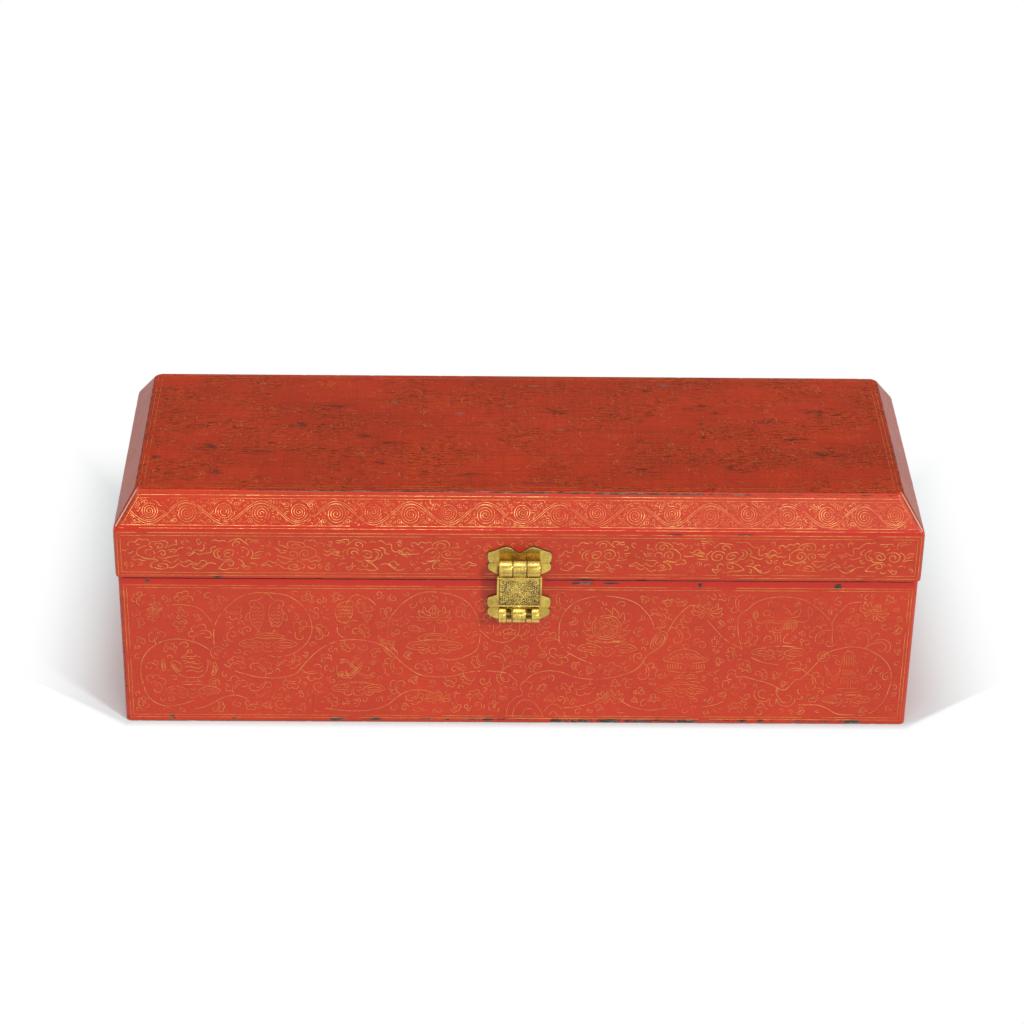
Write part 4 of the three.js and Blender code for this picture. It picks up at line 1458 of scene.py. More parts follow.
# %% Leaves of the front
rng = random.Random(7)
grown_leaves = sum(leaves_along(front_art, rng, line) for line in front_lines)
small_ones = fill_gaps(front_art, rng)
small_ones += fill_gaps(front_art, rng, 3.2, 5.2, (THREE_CURLS, SMALL_CURL, HOOK))
print("leaves:", grown_leaves, "- small curls:", small_ones)
front_art.gild("gilt_case_front", "case", gilt)


# %% [markdown]
# ## The scroll on the other sides
# The photograph shows the front only. The back and the ends of such a box carry the same vine with
# lotus blooms in its bends, so here it is written as a rule: a wave along the field, and in every
# bend a branch that circles inwards to a bloom.

# %% Lotus scroll by rule
BLOOM = 0.4  # a bloom's size as a share of its bend's


def lotus_scroll(drawing, low_x, high_x, middle, radius, bends, width=VINE_PEN):
    """A waving vine from low_x to high_x, with a lotus in each bend."""
    pitch = (high_x - low_x) / bends
    wave = [(low_x + pitch * t, middle + radius * 1.05 * math.cos(math.pi * (t - 0.5)))
            for t in np.linspace(0, bends, bends * 8 + 1)]
    lines = [drawing.stroke(wave, width)]
    for k in range(bends):
        side = 1 if k % 2 == 0 else -1
        centre = np.array([low_x + pitch * (k + 0.5), middle + side * radius * 0.06])
        branch = spiral(0.8, radius * 0.86, start=side * math.pi * 0.72, inner=0.62, hand=-side)
        lines.append(drawing.stroke(np.array(branch) + centre, width))
        drawing.motif(LOTUS, centre=centre - (0, radius * BLOOM * 0.25), size=radius * BLOOM)
        drawing.motif([spiral(1.1, 2.2, start=1.0)], centre=centre + (0, -radius * 0.62))
    return lines


def scroll_side(side, half, middle, radius, bends, seed):
    """A whole side of the case: border, scroll from -half to half, leaves and gold."""
    art = Drawing(case_faces[side], margin=5.0, seed=seed)
    border(art, CASE_BORDER, above=BELOW_SEAM)
    rng = random.Random(seed)
    for line in lotus_scroll(art, -half, half, middle, radius, bends):
        leaves_along(art, rng, line)
    fill_gaps(art, rng)
    art.gild(f"gilt_case_{side}", "case", gilt)


scroll_side("left", 64, case_top / 2, 25, 3, seed=2)
scroll_side("right", 64, case_top / 2, 25, 3, seed=3)
scroll_side("back", 196, case_top / 2 - 5, 24, 8, seed=4)


# %% [markdown]
# ## Clouds on the lid's walls
# The lid's walls carry groups of clouds: coiled heads with bumpy rims, and wavy tails that run out
# to both sides. Clouds made only by rule look like springs, so two groups were written down stroke
# by stroke. Each copy is then mirrored, stretched and bent a little, because the box has no two
# alike.

# %% Clouds
CLOUD_PEN = 0.64
FIRST_GROUP = [
    [(225, 190), (205, 165), (215, 140), (250, 128), (285, 140), (300, 155), (320, 125), (350, 105),
     (385, 112), (405, 125), (430, 108), (465, 108), (490, 128)],
    [(320, 185), (345, 178), (368, 192)],
    [(0, 268), (40, 262), (80, 228), (120, 214), (150, 232), (175, 255), (205, 245), (235, 222)],
    [(0, 270), (45, 300), (80, 308), (110, 285), (135, 280), (165, 305), (200, 300), (260, 295),
     (295, 275)],
    [(545, 225), (520, 205), (490, 200), (440, 205), (400, 225), (360, 250), (340, 290), (345, 335),
     (380, 360), (410, 378), (470, 385), (530, 375), (570, 340), (575, 290), (550, 255), (505, 245),
     (465, 265), (452, 300), (470, 330), (505, 335), (525, 310), (510, 285)],
    [(485, 185), (500, 150), (545, 128), (600, 118), (660, 105), (700, 115), (728, 145), (730, 180),
     (700, 215)],
    [(560, 200), (555, 170), (585, 150), (630, 145), (665, 165), (665, 200), (630, 215), (600, 200),
     (615, 175)],
    [(600, 290), (610, 330), (640, 355), (690, 365), (740, 355), (790, 355), (830, 345), (870, 350),
     (880, 320)],
    [(600, 290), (640, 260), (690, 250), (715, 275), (710, 310), (680, 320), (655, 300),
     (680, 285)],
    [(330, 340), (290, 345), (262, 370), (280, 405), (320, 395), (350, 405), (390, 420),
     (430, 410)],
    [(410, 378), (440, 390), (500, 396), (560, 385), (600, 395), (570, 405), (530, 425), (500, 460),
     (495, 490), (530, 510)],
    [(550, 500), (600, 515), (660, 520), (710, 505), (720, 470), (690, 450), (650, 438), (610, 445),
     (590, 470), (620, 485), (650, 470)],
    [(660, 400), (700, 395), (740, 430), (780, 440), (820, 420), (850, 400), (880, 385)],
    [(880, 420), (900, 440), (940, 435), (980, 410), (1010, 405), (1040, 425), (1110, 452)],
    [(700, 515), (740, 500), (780, 515), (820, 500), (850, 470), (890, 470), (920, 495), (960, 500),
     (990, 480), (1020, 450), (1060, 465), (1110, 455)],
    [(750, 250), (790, 255), (830, 250), (860, 270), (900, 240), (950, 220)],
    [(740, 215), (780, 190), (820, 185), (860, 180), (840, 150), (850, 120), (820, 130)],
    [(770, 290), (800, 280), (840, 295), (870, 280)],
]
SECOND_GROUP = [
    [(450, 270), (490, 262), (520, 275), (545, 240), (575, 225), (600, 245), (640, 250), (660, 215),
     (655, 170), (680, 150), (720, 155), (750, 130), (780, 105), (820, 98), (860, 110), (900, 98),
     (930, 115)],
    [(480, 290), (510, 295), (545, 270), (570, 262)],
    [(590, 285), (620, 300), (660, 290), (700, 280), (730, 275), (760, 250), (740, 225), (770, 195),
     (800, 180)],
    [(880, 200), (840, 205), (800, 230), (790, 270), (815, 315), (860, 325), (900, 350), (960, 350),
     (1010, 345)],
    [(860, 225), (830, 255), (845, 290), (880, 315)],
    [(900, 250), (930, 225), (980, 225), (1020, 240), (1030, 280), (1005, 310), (960, 315),
     (925, 295), (935, 265), (970, 258), (985, 280)],
    [(1060, 240), (1080, 215), (1130, 205), (1180, 215), (1210, 250), (1200, 300), (1160, 325),
     (1110, 320), (1080, 290), (1095, 255), (1135, 245), (1160, 265), (1145, 290)],
    [(1220, 215), (1255, 240), (1270, 290), (1250, 330), (1300, 325), (1370, 320)],
    [(960, 130), (1000, 110), (1050, 105), (1090, 95), (1130, 110), (1160, 140), (1200, 165)],
    [(1010, 185), (1005, 155), (1040, 130), (1085, 135), (1090, 165), (1055, 180)],
    [(1290, 265), (1330, 240), (1400, 240)], [(1290, 295), (1330, 285), (1370, 262)],
    [(1180, 130), (1190, 95), (1240, 85), (1290, 95), (1340, 90)],
    [(1220, 135), (1260, 110), (1300, 125), (1340, 115)],
    [(820, 460), (850, 430), (880, 400), (920, 375), (970, 365), (1010, 375), (1015, 410),
     (985, 430), (950, 420), (960, 395)],
    [(820, 460), (870, 470), (920, 475), (960, 460), (1000, 470), (1040, 480), (1080, 460)],
    [(1020, 350), (1050, 380), (1090, 360), (1130, 385), (1140, 430), (1180, 450), (1205, 440),
     (1190, 480), (1150, 485)],
    [(1090, 430), (1120, 440), (1150, 480)], [(1210, 400), (1250, 388), (1290, 400), (1300, 425)],
    [(500, 440), (540, 470), (590, 480), (640, 460), (690, 420), (730, 400), (800, 405)],
    [(560, 400), (590, 415), (620, 380), (650, 375), (690, 400), (650, 440), (600, 450)],
]
# middle, millimetres for each unit across and up, and lines
CLOUDS = [((590, 310), (0.037, -0.0405), FIRST_GROUP), ((930, 285), (0.0405, -0.046), SECOND_GROUP)]


# %% [markdown]
# A copy of a group is shifted along two slow waves, so that no two are quite alike. A stroke that
# would leave the wall is cut off at its border.

# %% Clouds on the walls
def cloud_group(rng, number):
    """One of the two groups about the origin, changed a little."""
    middle, scale, lines = CLOUDS[number % 2]
    flip, stretch, phase = (1, 1, -1, -1)[number % 4], rng.uniform(0.92, 1.04), rng.uniform(0, 6)
    made = []
    for line in lines:
        p = (np.array(line, float) - middle) * scale
        sway = [np.sin(p[:, 1] * 0.5 + phase), np.sin(p[:, 0] * 0.35 + phase)]
        made.append((p + np.column_stack(sway) * 0.5) * (flip * stretch, 1))
    return made


def cloud_side(side, seed, spots):
    """A wall of the lid with its groups of clouds at the given places along it."""
    art = Drawing(lid_faces[side], margin=3.9, worn=-0.44, seed=seed)
    border(art, (1.8, 3.5))
    rng = random.Random(seed)
    for k, x in enumerate(spots):
        for line in cloud_group(rng, k):
            inside = [p for p in line + (x, art.face.field[2] / 2) if art.inside(np.array([p]))]
            if len(inside) > 2:
                art.stroke(inside, CLOUD_PEN, 0.45)
    fill_gaps(art, rng, 2.6, 4.4, (SMALL_CURL, HOOK), CLOUD_PEN - 0.12)
    art.gild(f"gilt_lid_{side}", "lid", gilt)


columns = (157, 226, 298, 370, 440, 593, 664, 735, 806, 876)  # of the photograph
cloud_side("front", 20, [front_plane.traced((px, 556))[0][0] for px in columns])
cloud_side("back", 21, np.linspace(-180, 180, 10))
cloud_side("left", 22, (-46, 0, 46))
cloud_side("right", 23, (-46, 0, 46))


# %% [markdown]
# ## The scroll on the bevel
# Round the bevel runs a wave of two lines with a tight spiral in every bend and small curls
# between. It is all rule: a wave through the bends, spirals in them, and the same gap filling as
# before.

# %% Classic scroll
BEVEL_PEN = 0.3
BEVEL_MARGIN = 2.6
BEVEL_CURLS = [
    [(1.2, 5.6), (2.4, 5.3), (3.4, 4.7), (4.2, 3.9)], [(3.2, 5.9), (4.0, 5.5), (4.6, 5.2)],
    [(5.2, 2.0), (5.9, 1.4), (6.6, 1.5), (6.8, 2.0)],
    [(7.6, 3.2), (7.9, 4.0), (8.6, 4.5), (8.9, 4.0)],
    [(5.2, 0.6), (5.6, -0.2), (6.2, 0.3)],
]


def bevel_side(side, seed, bends, finish=bevel_gilt, worn=-0.46):
    """A side of the bevel. The wave runs under the first bend, over the second and so on."""
    art = Drawing(bevel_faces[side], margin=BEVEL_MARGIN, worn=worn, seed=seed, reach=0)
    low, high, height = art.face.field
    for up, width in [(0.8, 0.24), (2.3, 0.5), (height - 4.4, 0.24), (height - 2.8, 0.4)]:
        half = low + (high - low) * up / height - BEVEL_MARGIN
        art.stroke([(-half, up), (half, up)], width, STRAIGHT_STEP)
    for hand in (-1, 1):
        art.stroke([(hand * (low - 4.4), 2.3), (hand * (high - 2.4), height - 2.8)], 0.26,
                   STRAIGHT_STEP)
    rng = random.Random(seed)
    middle = height / 2 - 1.3
    ends = [2 * bends[0] - bends[1], *bends, 2 * bends[-1] - bends[-2]]
    for shift in (-0.55, 0.55):
        wave = [(np.interp(t + 1, range(len(ends)), ends),
                 middle + shift - 5.3 * math.cos(math.pi * t))
                for t in np.linspace(-0.5, len(bends) - 0.5, len(bends) * 8 + 1)]
        art.stroke([p for p in wave if art.inside(np.array([p]) * (1, 0) + (0, middle))], 0.38)
    for k, x in enumerate(bends):
        over = -1 if k % 2 else 1
        centre = np.array([x, middle + over * 0.5])
        lines = [spiral(3.7, 5.2 if over < 0 else 4.7, start=-math.pi * 0.85, inner=0.06)]
        for hand in (-1, 1):
            lines.append(spiral(1.5, 1.5, start=2.2, inner=0.15, centre=(hand * 5.9, 3.7)))
            lines += [[(hand * a, b) for a, b in line] for line in BEVEL_CURLS]
        for line in lines:
            line = np.array(line) * (1 if k % 4 < 2 else -1, over) + centre
            if art.inside(line):
                art.stroke(line, BEVEL_PEN, 0.4)
    art.map.take(np.array([(x, height - 3.6) for x in np.arange(-low, low, 0.5)]), 1)
    fill_gaps(art, rng, 1.6, 2.0, (HOOK,), BEVEL_PEN - 0.04)
    art.gild(f"gilt_bevel_{side}", "lid", finish)


# on the front the spirals stand closer towards the right end, as on the box
front_bends = np.interp(range(21), (0, 12, 16, 18, 19, 20),
                        (-185.3, 38.5, 114.4, 154.0, 172.6, 188.0))
bevel_side("front", 30, front_bends)
bevel_side("back", 31, np.linspace(-178, 178, 20))
bevel_side("left", 32, np.linspace(-46, 46, 6), faint_gilt, 0.12)
bevel_side("right", 33, np.linspace(-46, 46, 6), faint_gilt, 0.12)

# %% [markdown]
# The top had the same kind of scroll, but most of its gold is gone. The scroll is drawn whole and
# then cut down to the runs whose gold is left, as rubbing would leave it.

# %% Traces on the top
top_art = Drawing(top_face, margin=5.0, worn=0.12, seed=50.0)
rng = random.Random(50)
for row in (-30, 30):
    for line in lotus_scroll(top_art, -176, 176, row, 24, 8, width=0.26):
        leaves_along(top_art, rng, line)
fill_gaps(top_art, rng)
top_art.gild("gilt_top", "lid", faint_gilt)
rim_art = Drawing(top_face, worn=-0.34, seed=60.0)
border(rim_art, (2.0, 4.0), width=0.3)
rim_art.gild("gilt_top_border", "lid", faint_gilt)

# %% [markdown]
# ## Brass
# The fittings are cast and filed brass, rubbed bright where fingers reach and brown in every
# recess. A mesh value says where the brass is darkened: its tarnish in the recesses, and on the
# barrels also painted reflection bands and painted shade. Noise breaks it up, so the same finish
# serves plates, barrels and the chased hasp.

# %% The brass finishes
def brass_finish(name, clean, old, dark, rough):
    material, r, place = new_finish(name)
    broad = r.clouds(place, 6.0, 4.4, detail=3.0)
    fine = r.clouds(place, 0.9, 8.1, detail=4.0, rough=0.6)
    scratch = r.clouds(place, (3.5, 0.22, 0.16), 1.2, detail=2.0)
    browned = r.step(broad + (fine - 0.5) * 0.8, 0.36, 0.7)
    # the mesh value darkens the brass: tarnish, and on the barrels painted reflection bands and
    # painted shade
    darkened_share = r.step(r.carried("tarnish_and_painted_bands") + (fine - 0.5) * 0.5, 0.35, 0.75)
    close_finish(r, {
        "Base Color": r.mix(darkened_share, r.mix(browned * 0.75, clean, old), dark),
        "Metallic": 0.88 - darkened_share * 0.5,
        "Roughness": rough + browned * 0.12 + darkened_share * 0.3 + fine * 0.08,
        "Coat Weight": 0.4,
        "Coat Roughness": 0.12,
        "Normal": r.bump(fine * 0.05 + scratch * 0.05, 0.35),
    })
    return material


brass = brass_finish("brass", srgb(218, 187, 84), srgb(168, 132, 50), srgb(84, 64, 36), 0.18)
pin_brass = brass_finish("pin_brass", srgb(190, 150, 74), srgb(140, 98, 44), srgb(40, 28, 18), 0.34)
print("brasses:", brass.name, pin_brass.name)


# %% [markdown]
# The exact model's plates and barrels have few facets, which is right for collision. Here they are
# made again from the same sizes with smooth rounds: a plate is an outline with a filed edge and an
# engraved line, and a barrel is a ring turned round the pin.

# %% Plates
PLATE_THICK = 1.2


def cusped_outline():
    """The plate's outline, anticlockwise: two peaks, a V between them, a nick in each side."""
    right_half = flowing([
        (0, 5.5), (0.7, 5.55), (1.7, 6.2), (3.8, 8.0), (5.4, 9.05), (6.8, 9.3), (8.2, 8.95),
        (10.3, 8.1), (13.2, 6.9), (15.2, 6.2), (16.0, 5.4), (16.2, 3.4), (15.9, 1.2), (15.2, -0.1),
        (15.9, -1.3), (16.0, -3.0), (15.3, -4.5), (13.4, -5.8), (11.0, -6.9)], 0.4)
    left_half = right_half[1:][::-1] * (-1, 1)
    return np.vstack([right_half, left_half])[::-1]


def ringed(rings):
    """A closed solid through rings of equal count, from its underside to its top."""
    count = len(rings[0])
    faces = [tuple(range(count))[::-1]]
    for level in range(len(rings) - 1):
        for at in range(count):
            after, base = (at + 1) % count, level * count
            faces.append((base + at, base + after, base + count + after, base + count + at))
    faces.append(tuple((len(rings) - 1) * count + at for at in range(count)))
    return np.concatenate(rings), faces


def plate_solid(outline):
    """A plate with dark sides and a filed edge, and its tarnish."""
    middle = outline.mean(0)
    stretch = np.array([1.0, 1.9])  # the plate is about twice as wide as it is high
    rings, tarnish_and_painted_bands = [], []
    for share, below_top, dark in [(1.0, PLATE_THICK, 1.0), (1.0, 0.22, 1.0), (0.995, 0.07, 0.7),
                                   (0.98, 0, 0.35), (0.93, 0, 0.0), (0.75, 0, 0.0)]:
        flat = middle + (outline - middle) * (1 - (1 - share) * stretch)
        rings.append(np.column_stack([flat, np.full(len(outline), PLATE_THICK - below_top)]))
        tarnish_and_painted_bands += [dark] * len(outline)
    points, faces = ringed(rings)
    return points, faces, tarnish_and_painted_bands


BRICK_FACES = [(3, 2, 1, 0), (4, 5, 6, 7), (0, 1, 5, 4), (1, 2, 6, 5), (2, 3, 7, 6), (3, 0, 4, 7)]
SCORE_WIDE = 0.24


def scored(start, end):
    """A dark engraved line from one point of a plate to another."""
    a, b = np.array(start, float), np.array(end, float)
    side = np.array([a[1] - b[1], b[0] - a[0]]) / np.linalg.norm(b - a) * SCORE_WIDE / 2
    points = [(*p, out) for out in (PLATE_THICK - 0.1, PLATE_THICK + 0.02)
              for p in (a + side, a - side, b - side, b + side)]
    return np.array(points), BRICK_FACES, [1.0] * 8


print("points round a plate:", len(cusped_outline()))


# %% [markdown]
# A barrel is a ring turned round the pin. Its brass is painted darker in bands by the angle round
# the pin: narrow dark bands near the top and the front are painted reflections of a dark
# surround, and the underside towards the plate is darker as painted shade.

# %% Barrels and blocks
EDGE = 0.45
BARREL_STEPS = 72
# angles round a barrel from the side that faces the box, over the top, and how dark it is painted
# there
PAINTED_REFLECTION_BANDS = ([0, 1.0, 1.1, 1.6, 1.74, 2.1, 2.38, 2.46, 2.54, 2.62, 2.95, 3.08, 3.3, 3.45, 4.2, 4.9,
          6.3], [0.1, 0.1, 1.0, 1.0, 0.2, 0.0, 0.0, 0.6, 0.6, 0.0, 0.0, 0.54, 0.5, 0.15, 0.3, 0.8,
                 0.1])


def barrel_solid(low, high, radius, bore, start=0.0, end=2 * math.pi, behind=False):
    """A ring along X from low to high, or a part of one between two angles from the +Y side."""
    round_off = [(EDGE * (1 - math.cos(a)), EDGE * (1 - math.sin(a))) for a in (0.4, 0.8, 1.2)]
    rim = [(low, bore), (low, radius - EDGE)]
    rim += [(low + inwards, radius - down) for inwards, down in round_off]
    rim += [(low + EDGE, radius), (high - EDGE, radius)]
    rim += [(high - inwards, radius - down) for inwards, down in round_off[::-1]]
    rim += [(high, radius - EDGE), (high, bore)]
    whole = end - start > 6.28
    steps = int(BARREL_STEPS * (end - start) / (2 * math.pi))
    turns = [start + (end - start) * k / steps for k in range(steps + (0 if whole else 1))]
    points = [(x, r * math.cos(a), r * math.sin(a)) for a in turns for x, r in rim]
    count, faces = len(rim), []
    for k in range(steps):
        here, there = k * count, ((k + 1) % len(turns)) * count
        for i in range(count):
            j = (i + 1) % count
            faces.append((here + i, there + i, there + j, here + j))
    if not whole:
        last = (len(turns) - 1) * count
        faces += [tuple(range(count)), tuple(last + i for i in range(count))[::-1]]
    # painted reflection bands and painted shade, by the angle round the pin
    dark = [np.interp((math.pi - a) % (2 * math.pi) if behind else a, *PAINTED_REFLECTION_BANDS) for a in turns]
    tarnish_and_painted_bands = [max(d, 0.5 * (r < radius - EDGE - 0.01)) for d in dark for _, r in rim]
    return np.array(points), faces, tarnish_and_painted_bands


def block_solid(low, high, dark=0.5):
    corners = [(x, y, z) for z in (low[2], high[2]) for x, y in
               [(low[0], low[1]), (high[0], low[1]), (high[0], high[1]), (low[0], high[1])]]
    return np.array(corners, float), BRICK_FACES, [dark] * 8


def brass_piece(node, body, parts):
    """Joins solids into one piece that stands for a node of the exact model."""
    points, faces, tarnish_and_painted_bands = [], [], []
    for part_points, part_faces, dark in parts:
        faces += [tuple(v + len(points) for v in face) for face in part_faces]
        points += [tuple(p) for p in part_points]
        tarnish_and_painted_bands += list(dark)
    made = new_mesh_piece(f"brass_{node}", points, faces, [brass])
    carried = made.data.attributes.new("tarnish_and_painted_bands", "FLOAT", "POINT")
    carried.data.foreach_set("value", np.array(tarnish_and_painted_bands, np.float32))
    made.data.set_sharp_from_angle(angle=math.radians(32))
    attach(made, body)
    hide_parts(node)
    print(made.name, "faces:", len(faces))


def moved(part, offset):
    points, faces, dark = part
    return points + np.array(offset, float), faces, dark


print("points of a barrel:", len(barrel_solid(0, 5, 4, 2)[0]))

# %% [markdown]
# The hasp plate has two outer knuckles for the hasp's pin. The lock plate below has two as well,
# each cut away above over part of its width, so that the hasp's own lower knuckle can drop between
# them.

# %% Plates of the hasp
HASP_RADIUS, HASP_KNUCKLE, HASP_PITCH = 4.5, 6.7, 7.0
HASP_BORE, LOCK_BORE = 2.2, 2.4
RELIEF = 2.7  # how much of a lock knuckle's width is cut away above
LOCK_DROP = 16.1  # from the case's rim down to the lock knuckles
ROOT_HALF = 1.5
EMBED = 0.6  # how deep a neck reaches into its plate
hasp_y, hasp_z = middle_of("hasp_pin", 1), middle_of("hasp_pin", 2)
lock_z = case_top - LOCK_DROP


def plate_on(face_y, centre_x, datum_z, outward, upward):
    """A cusped plate on the front or back, its peaks up or down, with the lines engraved on it."""
    outline = cusped_outline()
    if upward < 0:
        outline = (outline * (1, -1))[::-1]
    face = Face((centre_x, face_y, datum_z), (-outward, 0, 0), (0, 0, 1))
    lines = [[(15.0 * s, -0.1), (10.6 * s, -0.1)] for s in (-1, 1)]
    lines += [[(a * s, b), (c * s, d)] for s in (-1, 1) for a, b, c, d in
              [(0, 4.2, 2.6, 5.6), (2.6, 5.6, 4.6, 7.4), (4.6, 7.4, 7.0, 8.2),
               (7.0, 8.2, 10.4, 7.2)]]
    solids = [plate_solid(outline)] + [scored(*(np.array(line) * (1, upward))) for line in lines]
    return [(face.lay(points), faces, dark) for points, faces, dark in solids]


def hasp_root(x, z, plate_y, high):
    """The neck of metal between a knuckle of the hasp and the plate behind it."""
    half = HASP_KNUCKLE / 2 - EDGE
    return block_solid((x - half, hasp_y + HASP_RADIUS * 0.72, z - ROOT_HALF),
                       (x + half, plate_y - EMBED, z + high), 0.0)


def hasp_barrel(bore):
    return barrel_solid(-HASP_KNUCKLE / 2, HASP_KNUCKLE / 2, HASP_RADIUS, bore)


hasp_parts = plate_on(-lid_half[1], 0, hasp_z, -1, 1)
lock_parts = plate_on(-case_half[1], 0, lock_z, -1, 1)
for side in (-1, 1):
    x = side * HASP_PITCH
    hasp_parts.append(moved(hasp_barrel(HASP_BORE), (x, hasp_y, hasp_z)))
    hasp_parts.append(hasp_root(x, hasp_z, -lid_half[1], ROOT_HALF))
    inner = x - side * HASP_KNUCKLE / 2
    split = inner + side * RELIEF
    outer = x + side * HASP_KNUCKLE / 2
    for ends, start in [((split, outer), 0.0), ((inner, split), math.pi)]:
        barrel = barrel_solid(*sorted(ends), HASP_RADIUS, LOCK_BORE, start)
        lock_parts.append(moved(barrel, (0, hasp_y, lock_z)))
    lock_parts.append(hasp_root(x, lock_z, -case_half[1], 0.0))
brass_piece("hasp_plate", "lid", hasp_parts)
brass_piece("lock_plate", "case", lock_parts)

# %% [markdown]
# Nothing behind shows in the photograph. Such boxes have two knuckled hinges of the same make, so
# the leaves are the same plates: the lid's leaf has one knuckle and the case's leaf, upside down,
# two.

# %% Hinge leaves
HINGE_RADIUS, HINGE_KNUCKLE, HINGE_PITCH, HINGE_BORE = 3.6, 6.9, 7.2, 1.8
LEAF_DATUM = 8.0  # from the pin up or down to a leaf's middle
NECK_LOW, NECK_HIGH, NECK_BACK = 0.8, 3.4, 1.9
hinge_y, hinge_z = middle_of("left_hinge_pin", 1), middle_of("left_hinge_pin", 2)
for name in ("left", "right"):
    centre_x = middle_of(f"{name}_hinge_pin", 0)
    for body, face_y, upward, places in [("lid", lid_half[1], 1, (0,)),
                                         ("case", case_half[1], -1, (-1, 1))]:
        parts = plate_on(face_y, centre_x, hinge_z + LEAF_DATUM * upward, 1, upward)
        low, high = sorted((NECK_LOW * upward, NECK_HIGH * upward))
        half = HINGE_KNUCKLE / 2
        for place in places:
            x = centre_x + place * HINGE_PITCH
            barrel = barrel_solid(-half, half, HINGE_RADIUS, HINGE_BORE, behind=True)
            parts.append(moved(barrel, (x, hinge_y, hinge_z)))
            parts.append(block_solid((x - half + EDGE, face_y + EMBED, hinge_z + low),
                                     (x + half - EDGE, hinge_y - NECK_BACK, hinge_z + high)))
        brass_piece(f"{name}_hinge_{body}_leaf", body, parts)


# %% [markdown]
# The hasp's panel is chased: thin dark lines coil all over it inside a raised rim, finer and paler
# in the middle. A bump map would lie flat from the side, so the panel is a fine grid whose height
# comes from the distance to the pattern's lines.

# %% The chased hasp
PANEL_HALF = 11.3
PANEL_TOP, PANEL_FOOT = -5.0, -22.5
GROUND, RIM_RISE, RIM_WIDTH, CHASE_RISE = 1.3, 0.5, 0.7, 0.25
GRID = 0.15


def nearest(points, lines):
    """The distance from each point to the nearest of some lines."""
    samples = np.concatenate([flowing(line, 0.12) for line in lines])
    found = np.full(len(points), 1e9)
    for start in range(0, len(samples), 200):
        chunk = samples[start:start + 200]
        found = np.minimum(found, np.sqrt(((points[:, None] - chunk[None]) ** 2).sum(2)).min(1))
    return found


def chased_lines(rng):
    """Coils in rows, each with a comma beside it, and a line inside the rim."""
    half, foot, top = PANEL_HALF - 1.3, PANEL_FOOT + 1.3, PANEL_TOP - 1.0
    lines = [[(-half, foot), (-half, top)], [(half, foot), (half, top)],
             [(-half, foot), (half, foot)]]
    comma = [(0.9, 0.2), (1.4, 0.6), (1.5, 1.1), (1.0, 1.4)]
    for row, v in enumerate(np.arange(foot + 1.0, top - 0.4, 1.75)):
        for u in np.arange(-half + 1.0 + (row % 2) * 1.0, half - 0.6, 2.0):
            at = (u + rng.uniform(-0.3, 0.3), v + rng.uniform(-0.3, 0.3))
            lines.append(turned(spiral(1.0, rng.uniform(0.7, 0.95), start=rng.uniform(0, 6.3),
                                       inner=0.5, hand=rng.choice((-1, 1))), at))
            lines.append(turned(comma, at, angle=rng.uniform(0, 6.3)))
    return lines


print("lines of the chasing:", len(chased_lines(random.Random(5))))


# %% [markdown]
# The grid's height is the ground, a raised rim round it, and the chasing between its lines. Its
# two lower corners are rounded by moving the grid's points there, and a wall and a back close it.

# %% The panel
def hasp_panel():
    """The panel's points, faces and tarnish."""
    columns = int(2 * PANEL_HALF / GRID)
    rows = int((PANEL_TOP - PANEL_FOOT) / GRID)
    us = np.linspace(-PANEL_HALF, PANEL_HALF, columns + 1)
    vs = np.linspace(PANEL_FOOT, PANEL_TOP, rows + 1)
    grid = np.array([(u, v) for v in vs for u in us])
    u, v = grid[:, 0].copy(), grid[:, 1].copy()
    edge = np.minimum(PANEL_HALF - np.abs(u), np.minimum(v - PANEL_FOOT, PANEL_TOP - v))
    line_gap = nearest(grid, chased_lines(random.Random(5)))
    cut = np.clip(1.6 - line_gap / 0.15, 0, 1)
    away = np.hypot(u / PANEL_HALF, (v - (PANEL_TOP + PANEL_FOOT) / 2) / 8.75)
    away = np.clip((away - 0.4) / 0.5, 0, 1)
    rim = np.clip((RIM_WIDTH + 0.25 - edge) / 0.3, 0, 1)
    fall = np.clip(edge / 0.22, 0.35, 1) ** 0.5
    height = GROUND + np.maximum(RIM_RISE * rim * fall, CHASE_RISE * (1 - 0.7 * cut) * (1 - rim))
    tarnish_and_painted_bands = np.clip(0.17 + cut * (0.48 + 0.16 * away) + 0.16 * away, 0, 1) * (1 - rim)
    corner = 1.2
    for sign in (-1, 1):
        near = (u * sign > PANEL_HALF - corner) & (v < PANEL_FOOT + corner)
        a = (u[near] * sign - (PANEL_HALF - corner)) / corner
        b = ((PANEL_FOOT + corner) - v[near]) / corner
        grid[near, 0] = sign * (PANEL_HALF - corner + corner * a * np.sqrt(1 - b ** 2 / 2))
        grid[near, 1] = PANEL_FOOT + corner - corner * b * np.sqrt(1 - a ** 2 / 2)
    wide = columns + 1
    faces = [(j * wide + i, j * wide + i + 1, (j + 1) * wide + i + 1, (j + 1) * wide + i)
             for j in range(rows) for i in range(columns)]
    loop = list(range(wide)) + [j * wide + columns for j in range(1, rows + 1)]
    loop += [rows * wide + i for i in range(columns - 1, -1, -1)]
    loop += [j * wide for j in range(rows - 1, 0, -1)]
    below = len(grid)
    flat = np.column_stack([grid, height])
    points = np.vstack([flat, np.column_stack([grid[loop], np.zeros(len(loop))])])
    for k, at in enumerate(loop):
        after = (k + 1) % len(loop)
        faces.append((at, below + k, below + after, loop[after]))
    faces.append(tuple(range(below, below + len(loop)))[::-1])
    return points, faces, list(tarnish_and_painted_bands) + [0.4] * len(loop)


